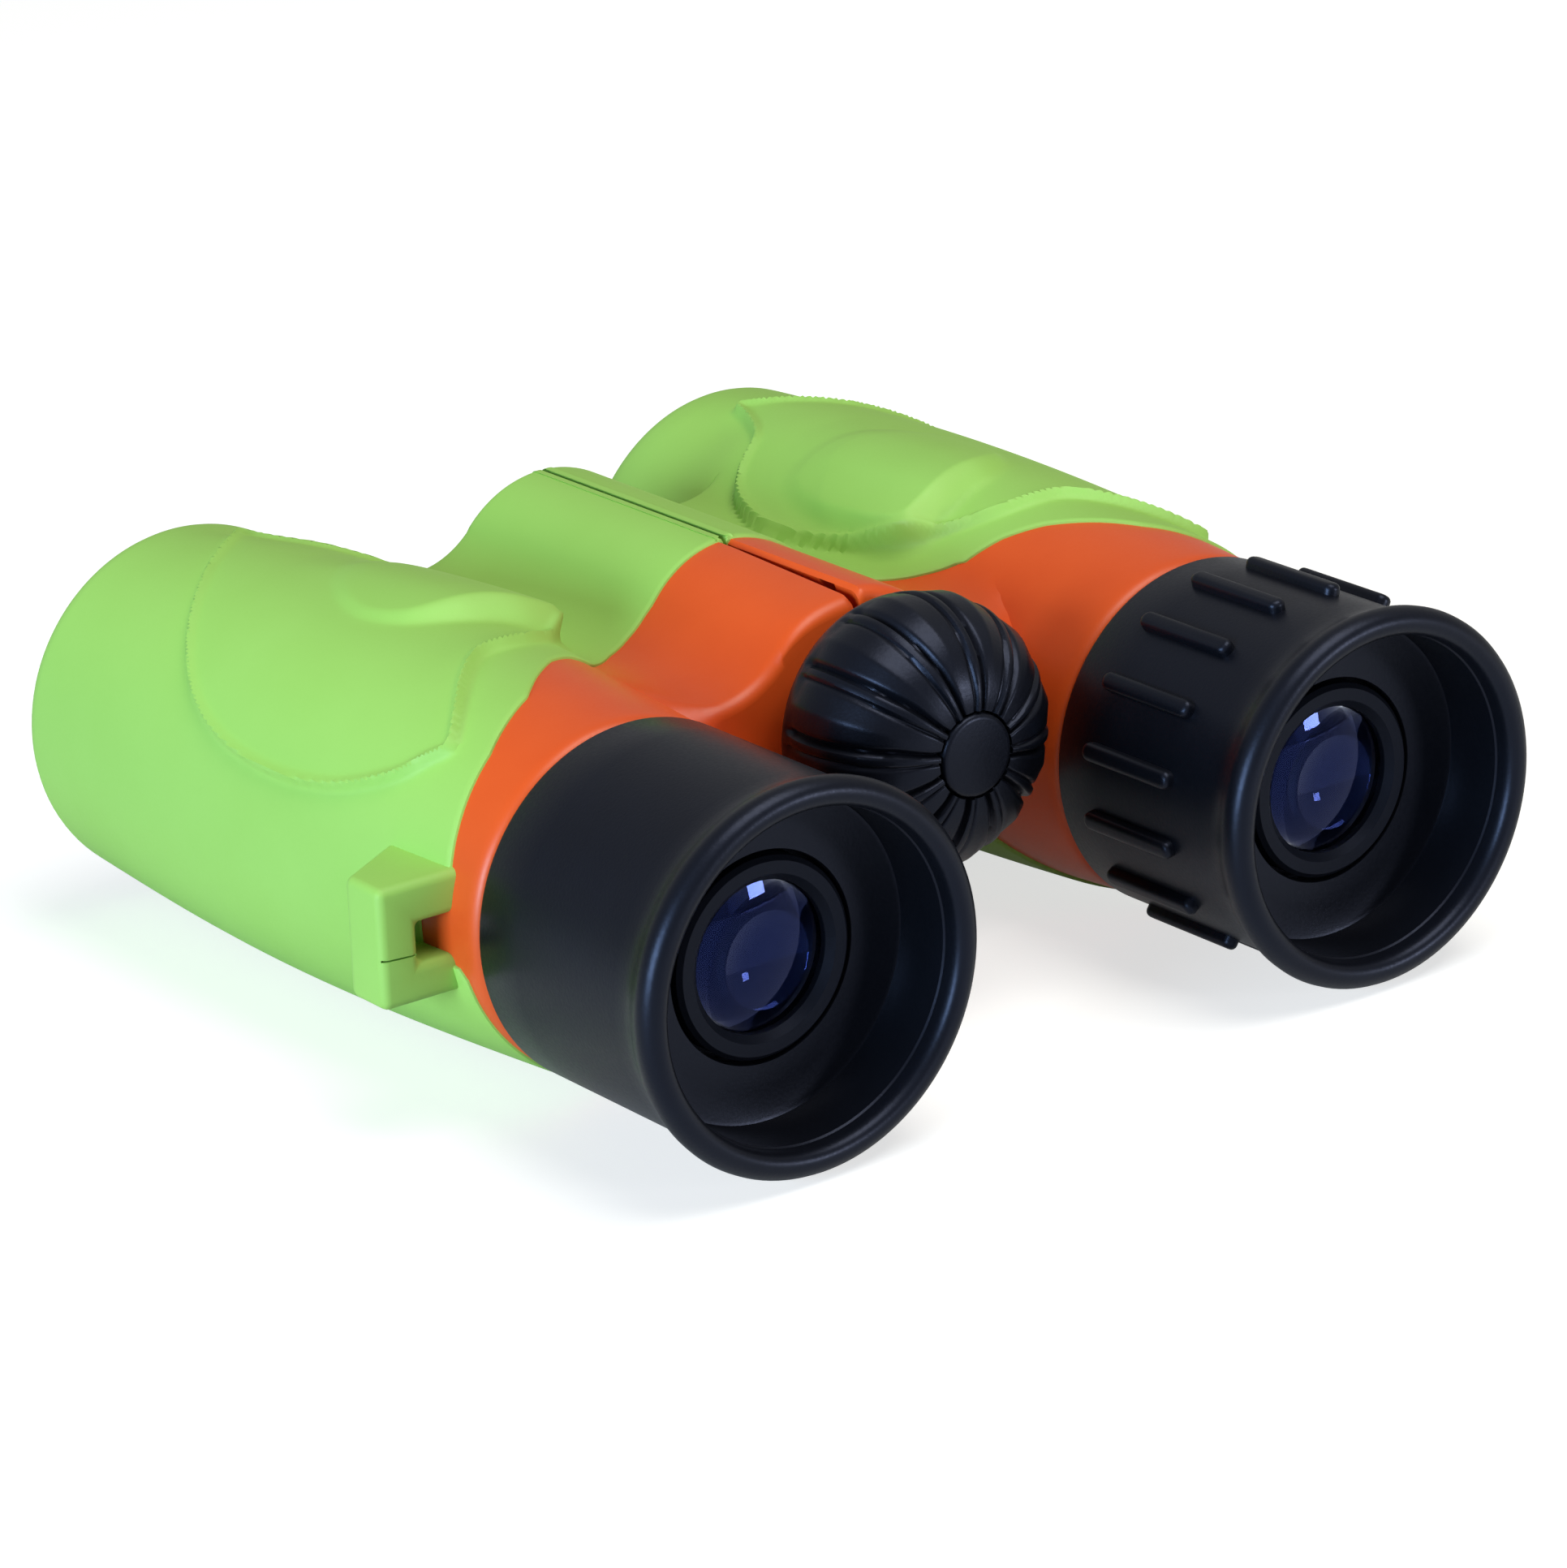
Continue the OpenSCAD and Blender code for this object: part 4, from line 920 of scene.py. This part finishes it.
# the grain is about 0.1 mm on the real moulding, drawn at 0.3 mm so that it shows
grain = add(tree, "ShaderNodeTexNoise", {"Vector": place, "Scale": per_metre(0.3), "Detail": 3.0})
gloss = add(
    tree, "ShaderNodeMapRange",
    {"Value": grain.outputs["Fac"], "To Min": 0.29, "To Max": 0.43},
)
tree.links.new(gloss.outputs["Result"], shader.inputs["Roughness"])
bump = add(
    tree, "ShaderNodeBump",
    {"Height": grain.outputs["Fac"], "Strength": 0.4, "Distance": 0.00003},
)
tree.links.new(bump.outputs["Normal"], shader.inputs["Normal"])
shader.inputs["IOR"].default_value = 1.5
shader.inputs["Specular IOR Level"].default_value = 0.3
shader.inputs["Specular Tint"].default_value = linear("#C4D2FF")

set_piece(
    sleeve(), "left_eyecup_sleeve", "left_half", "cup_rubber", black_rubber, "left_eyecup",
)
right_cup = sleeve()
ribs(right_cup)
mirrored(right_cup)
set_piece(
    right_cup, "right_eyecup_sleeve", "dioptre", "cup_rubber", black_rubber, "right_eyecup",
)

# Focus knob.
# A black rubber dome pushed on the spindle's hub, with a small disc let into its flat end.
# Twelve seams run from that end to its base, each a thin raised band beside a deep groove, with
# a cushion between them for the fingertip.
KNOB_Y = 17.6
KNOB_END_Y = 30.7
KNOB_RADIUS = 12.5
KNOB_FLAT = 3.95
DOME_LENGTH = 8.8
DOME_SHARE = 0.72
DOME_ROWS = 60
PROFILE_STEP = 0.01
BASE_RADIUS = 11.2
BASE_ROUND = 0.5
HUB_RADIUS = 7.05
HUB_DEPTH = 2.2
DISC_GAP = 0.1
DISC_DEPTH = 1.0
KNOB_SEAMS = 12
SEAM_COLUMNS = 28
SEAM_TURN = math.radians(23)
SEAM_FADE = (0.86, 0.97)
SEAM_FULL_RADIUS = 8
SEAM_LEAST_SHARE = 0.6
# the parts of a seam: height or depth, place beside its middle, and width
BAND_HEIGHT, BAND_OFF, BAND_EDGE = 0.16, -0.06, (0.36, 0.56)
DEEP_GROOVE, DEEP_OFF, DEEP_WIDTH = 0.55, -0.8, 0.3
SHALLOW_GROOVE, SHALLOW_OFF, SHALLOW_WIDTH = 0.2, 0.62, 0.2
CUSHION_HEIGHT, CUSHION_SHARES = 0.3, (0.1, 0.5)
KNOB_DISC = (
    (0.0, 17.62), (3.2, 17.6), (3.5, 17.66), (3.66, 17.82), (3.72, 18.05), (3.72, 19.6),
    (0.0, 19.6),
)
DISC_STEPS = 64


def knob_profile(share):
    """Radius and y of the dome, share 0 at the flat end and 1 at the base edge."""
    if share < DOME_SHARE:
        a = math.pi / 2 * share / DOME_SHARE
        return (KNOB_FLAT + (KNOB_RADIUS - KNOB_FLAT) * math.sin(a),
                KNOB_Y + DOME_LENGTH * (1 - math.cos(a)))
    t = (share - DOME_SHARE) / (1 - DOME_SHARE)
    return (KNOB_RADIUS - (KNOB_RADIUS - BASE_RADIUS) * t * t,
            KNOB_Y + DOME_LENGTH + (KNOB_END_Y - KNOB_Y - DOME_LENGTH) * t)


def knob():
    """The dome with its seams, closed round the hub."""
    bm = bmesh.new()
    columns = KNOB_SEAMS * SEAM_COLUMNS
    pitch = 2 * math.pi / KNOB_SEAMS
    hub_y, seat = KNOB_Y + HUB_DEPTH, KNOB_FLAT - DISC_GAP
    inside = (
        (BASE_RADIUS - BASE_ROUND, KNOB_END_Y), (HUB_RADIUS, KNOB_END_Y), (HUB_RADIUS, hub_y),
        (seat, hub_y), (seat, KNOB_Y + DISC_DEPTH),
    )

    def corner(column, row):
        turn = 2 * math.pi * column / columns
        if row <= DOME_ROWS:
            share = row / DOME_ROWS
            radius, y = knob_profile(share)
            ahead = knob_profile(min(1, share + PROFILE_STEP))
            behind = knob_profile(max(0, share - PROFILE_STEP))
            slope = Vector((ahead[0] - behind[0], ahead[1] - behind[1])).normalized()
            from_seam = (turn - SEAM_TURN + pitch / 2) % pitch - pitch / 2
            # the seams narrow towards the flat end
            narrow = min(1.0, max(SEAM_LEAST_SHARE, radius / SEAM_FULL_RADIUS))
            off = from_seam * radius / narrow
            deep = math.exp(-((off - DEEP_OFF) / DEEP_WIDTH) ** 2)
            shallow = math.exp(-((off - SHALLOW_OFF) / SHALLOW_WIDTH) ** 2)
            band = float(1 - ease(abs(off - BAND_OFF), *BAND_EDGE))
            swell = (2 * from_seam / pitch) ** 2 * float(ease(share, *CUSHION_SHARES))
            height = BAND_HEIGHT * band - DEEP_GROOVE * deep - SHALLOW_GROOVE * shallow
            height += CUSHION_HEIGHT * (swell - 1)
            height *= float(1 - ease(share, *SEAM_FADE))
            radius += height * slope.y
            y -= height * slope.x
        else:
            radius, y = inside[row - DOME_ROWS - 1]
        dx, dz = toward(turn)
        return Vector((radius * dx, y, HINGE_RISE + radius * dz))

    shaped_grid(bm, columns, DOME_ROWS + len(inside), corner)
    bmesh.ops.remove_doubles(bm, verts=bm.verts, dist=MEETING)
    rims = [e for e in bm.edges if e.is_boundary]
    bmesh.ops.bridge_loops(bm, edges=rims)
    bmesh.ops.recalc_face_normals(bm, faces=bm.faces)
    return bm


set_piece(knob(), "focus_knob_dome", "focus_wheel", "cup_rubber", black_rubber, "focus_knob")

disc = bmesh.new()
turned(disc, KNOB_DISC, 0, HINGE_RISE, DISC_STEPS)
weld(disc)
set_piece(disc, "knob_end_disc", "focus_wheel", "black_plastic", black_rubber, "knob_cap")

# Eye lenses.
# A strongly curved crown glass lens, ground and polished, sits in each eye ring a little behind
# the ring's face.
LENS_RADIUS = 6.57
LENS_Y = 8.3
LENS_EDGE = 2.2
LENS_STEPS = 24
LENS_SPIN_STEPS = 96
FRONT_CURVE = 22.0
REAR_CURVE = 15.0

# Crown glass with a magnesium fluoride coating: clear, with a faint blue-violet reflection and
# a trace of haze in patches of about 0.8 mm.
coated_glass, tree, shader = new_material("coated_crown_glass")
place = add(tree, "ShaderNodeTexCoord").outputs["Object"]
patches = add(tree, "ShaderNodeTexNoise", {"Vector": place, "Scale": per_metre(0.8), "Detail": 2.0})
haze = add(
    tree, "ShaderNodeMapRange",
    {"Value": patches.outputs["Fac"], "From Min": 0.55, "From Max": 0.8, "To Min": 0.0,
     "To Max": 0.01},
)
tree.links.new(haze.outputs["Result"], shader.inputs["Roughness"])
shader.inputs["Base Color"].default_value = linear("#D4DCF2")
shader.inputs["Transmission Weight"].default_value = 1.0
shader.inputs["IOR"].default_value = 1.52
shader.inputs["Specular IOR Level"].default_value = 0.4
shader.inputs["Specular Tint"].default_value = linear("#6884FF")


def eye_lens(name, x, body, node):
    """A lens with two spherical faces, spun about its optical axis."""
    steps = [LENS_RADIUS * i / LENS_STEPS for i in range(LENS_STEPS + 1)]
    front_y = LENS_Y + math.sqrt(FRONT_CURVE**2 - LENS_RADIUS**2)
    rear_y = LENS_Y + LENS_EDGE - math.sqrt(REAR_CURVE**2 - LENS_RADIUS**2)
    front = [(r, front_y - math.sqrt(FRONT_CURVE**2 - r * r)) for r in steps]
    rear = [(r, rear_y + math.sqrt(REAR_CURVE**2 - r * r)) for r in reversed(steps)]
    bm = bmesh.new()
    turned(bm, front + rear, x, 0, LENS_SPIN_STEPS)
    weld(bm)
    set_piece(bm, name, body, "lens_glass", coated_glass, node)


eye_lens("left_eye_lens_glass", -HALF_GAP, "left_half", "left_eye_lens")
eye_lens("right_eye_lens_glass", HALF_GAP, "right_eyepiece", "right_eye_lens")

# Eyepiece, hinge, focusing, prism and objective pieces.
# Black polycarbonate mouldings, ground glass and turned steel and brass, pushed, screwed or
# glued into the casings. Their shapes are the part's own, so its own meshes are shown.

# Black polycarbonate, moulded: matt inside the tubes to keep stray light down, with a faint grain.
black_plastic, tree, shader = new_material("moulded_black_polycarbonate")
place = add(tree, "ShaderNodeTexCoord").outputs["Object"]
# the grain is about 0.1 mm on the real moulding, drawn at 0.4 mm so that it shows
grain = add(tree, "ShaderNodeTexNoise", {"Vector": place, "Scale": per_metre(0.4), "Detail": 3.0})
tint = add(tree, "ShaderNodeValToRGB", {"Fac": grain.outputs["Fac"]})
tint.color_ramp.elements[0].color = linear("#0A0C12")
tint.color_ramp.elements[1].color = linear("#10131C")
tree.links.new(tint.outputs["Color"], shader.inputs["Base Color"])
bump = add(
    tree, "ShaderNodeBump",
    {"Height": grain.outputs["Fac"], "Strength": 0.3, "Distance": 0.00002},
)
tree.links.new(bump.outputs["Normal"], shader.inputs["Normal"])
shader.inputs["Roughness"].default_value = 0.45
shader.inputs["IOR"].default_value = 1.58
shader.inputs["Specular IOR Level"].default_value = 0.16
shader.inputs["Specular Tint"].default_value = linear("#C4D2FF")

# the lathe's rings are about 0.1 mm apart, drawn at 0.8 mm so that they show; a wave texture
# runs through 20 radians in one unit
RING_PITCH = 0.78957
WAVES_PER_UNIT = 20 / (2 * math.pi)


def turned_metal(name, colour, smoothest, roughest):
    """A bare metal with fine rings round the axis along y."""
    material, tree, shader = new_material(name)
    place = add(tree, "ShaderNodeTexCoord").outputs["Object"]
    rings = add(
        tree, "ShaderNodeTexWave",
        {"Vector": place, "Scale": per_metre(RING_PITCH) / WAVES_PER_UNIT, "Distortion": 0.6,
         "Detail": 2.0},
        bands_direction="Y",
    )
    gloss = add(
        tree, "ShaderNodeMapRange",
        {"Value": rings.outputs["Fac"], "To Min": smoothest, "To Max": roughest},
    )
    tree.links.new(gloss.outputs["Result"], shader.inputs["Roughness"])
    shader.inputs["Base Color"].default_value = linear(colour)
    shader.inputs["Metallic"].default_value = 1.0
    return material


# Zinc-plated steel, turned: cool pale grey with a bright highlight.
plated_steel = turned_metal("zinc_plated_steel", "#C6C7C9", 0.22, 0.38)
# Brass, turned and left bare: warm yellow with a slightly broader highlight.
turned_brass = turned_metal("turned_brass", "#C9A24E", 0.25, 0.4)

FINISHES = {
    "black_plastic": black_plastic, "lens_glass": coated_glass, "steel": plated_steel,
    "brass": turned_brass,
}
for subpart in frame["record"]["subparts"]:
    node = frame["nodes"][subpart["node"]]
    finish = FINISHES.get(subpart["material_slot"])
    if finish:
        node.data.materials.clear()
        node.data.materials.append(finish)

# Studio.
# White background paper, a low softbox at the left, a broad one above, a small flash at the front
# right, and the camera where the photograph was taken from. Paper and world are full white to
# the camera alone; gloss and glass show a dimmed share of it, so that black rubber stays dark.
FLOOR_HALF = 3.0
GLOSS_SHARE = 0.32
PAPER_GLOW = 0.68
SKY_FILL = 0.04
LOOKED_AT = Vector((0, 0, 0.02))
CAMERA_PLACE = (-0.324145, -0.444530, 0.213869)
AZIMUTH = math.radians(-36.290)
ELEVATION = math.radians(19.955)
ROLL = math.radians(-2.386)
SENSOR_WIDTH = 36.0
FOCAL_PIXELS = 8038.55
PHOTO_PIXELS = 1931


def seen_share(tree):
    """1 for what the camera sees, less for what gloss and glass show, 0 for other light."""
    ray = add(tree, "ShaderNodeLightPath").outputs
    through = add(
        tree, "ShaderNodeMath",
        {0: ray["Is Glossy Ray"], 1: ray["Is Transmission Ray"]}, operation="MAXIMUM",
    )
    dimmed = add(
        tree, "ShaderNodeMath", {0: through.outputs[0], 1: GLOSS_SHARE}, operation="MULTIPLY",
    )
    direct = add(
        tree, "ShaderNodeMath",
        {0: ray["Is Camera Ray"], 1: dimmed.outputs[0]}, operation="MAXIMUM",
    )
    return direct.outputs[0]


sheet = bmesh.new()
bmesh.ops.create_grid(sheet, x_segments=1, y_segments=1, size=FLOOR_HALF)
mesh = bpy.data.meshes.new("studio_floor")
sheet.to_mesh(mesh)
sheet.free()
floor = bpy.data.objects.new("studio_floor", mesh)
bpy.context.scene.collection.objects.link(floor)
paper = bpy.data.materials.new("white_background_paper")
paper.use_nodes = True
tree = paper.node_tree
tree.nodes.clear()
matt = add(tree, "ShaderNodeBsdfDiffuse", {"Color": linear("#CECECE")})
lift = add(tree, "ShaderNodeMath", {0: seen_share(tree), 1: PAPER_GLOW}, operation="MULTIPLY")
glow = add(tree, "ShaderNodeEmission", {"Strength": lift.outputs[0]})
both = add(tree, "ShaderNodeAddShader", {0: matt.outputs[0], 1: glow.outputs[0]})
add(tree, "ShaderNodeOutputMaterial", {"Surface": both.outputs[0]})
mesh.materials.append(paper)

world = bpy.data.worlds.new("studio")
bpy.context.scene.world = world
world.use_nodes = True
tree = world.node_tree
tree.nodes.clear()
level = add(
    tree, "ShaderNodeMath",
    {0: seen_share(tree), 1: 1 - SKY_FILL, 2: SKY_FILL}, operation="MULTIPLY_ADD",
)
sky = add(tree, "ShaderNodeBackground", {"Color": linear("#FFFFFF"), "Strength": level.outputs[0]})
add(tree, "ShaderNodeOutputWorld", {"Surface": sky.outputs[0]})


def softbox(name, place, size, power, tint):
    """A flat light that looks at the middle of the object."""
    lamp = bpy.data.lights.new(name, "AREA")
    lamp.shape = "RECTANGLE"
    lamp.size, lamp.size_y = size
    lamp.energy = power
    lamp.color = linear(tint)[:3]
    light = bpy.data.objects.new(name, lamp)
    light.location = place
    light.rotation_euler = (LOOKED_AT - Vector(place)).to_track_quat("-Z", "Y").to_euler()
    bpy.context.scene.collection.objects.link(light)


softbox("softbox_left", (-0.95, -0.26, 0.22), (0.5, 0.4), 10.8, "#CCE9FF")
softbox("softbox_top", (0.12, -0.3, 1.0), (0.7, 0.7), 7.6, "#FFFBF2")
softbox("flash_front_right", (0.526, -0.883, 0.14), (0.15, 0.15), 2.4, "#FFFFFF")

back = Vector((
    math.sin(AZIMUTH) * math.cos(ELEVATION),
    -math.cos(AZIMUTH) * math.cos(ELEVATION),
    math.sin(ELEVATION),
))
right = (-back).cross(Vector((0, 0, 1))).normalized()
up = right.cross(-back)
right, up = (
    right * math.cos(ROLL) + up * math.sin(ROLL),
    up * math.cos(ROLL) - right * math.sin(ROLL),
)
lens = bpy.data.cameras.new("camera")
lens.sensor_fit = "HORIZONTAL"
lens.sensor_width = SENSOR_WIDTH
lens.lens = SENSOR_WIDTH * FOCAL_PIXELS / PHOTO_PIXELS
lens.clip_start, lens.clip_end = 0.02, 20.0
camera = bpy.data.objects.new("camera", lens)
turn = Matrix((right, up, back)).transposed().to_4x4()
camera.matrix_world = Matrix.Translation(CAMERA_PLACE) @ turn
bpy.context.scene.collection.objects.link(camera)
bpy.context.scene.camera = camera
bpy.context.scene.view_settings.view_transform = "Standard"
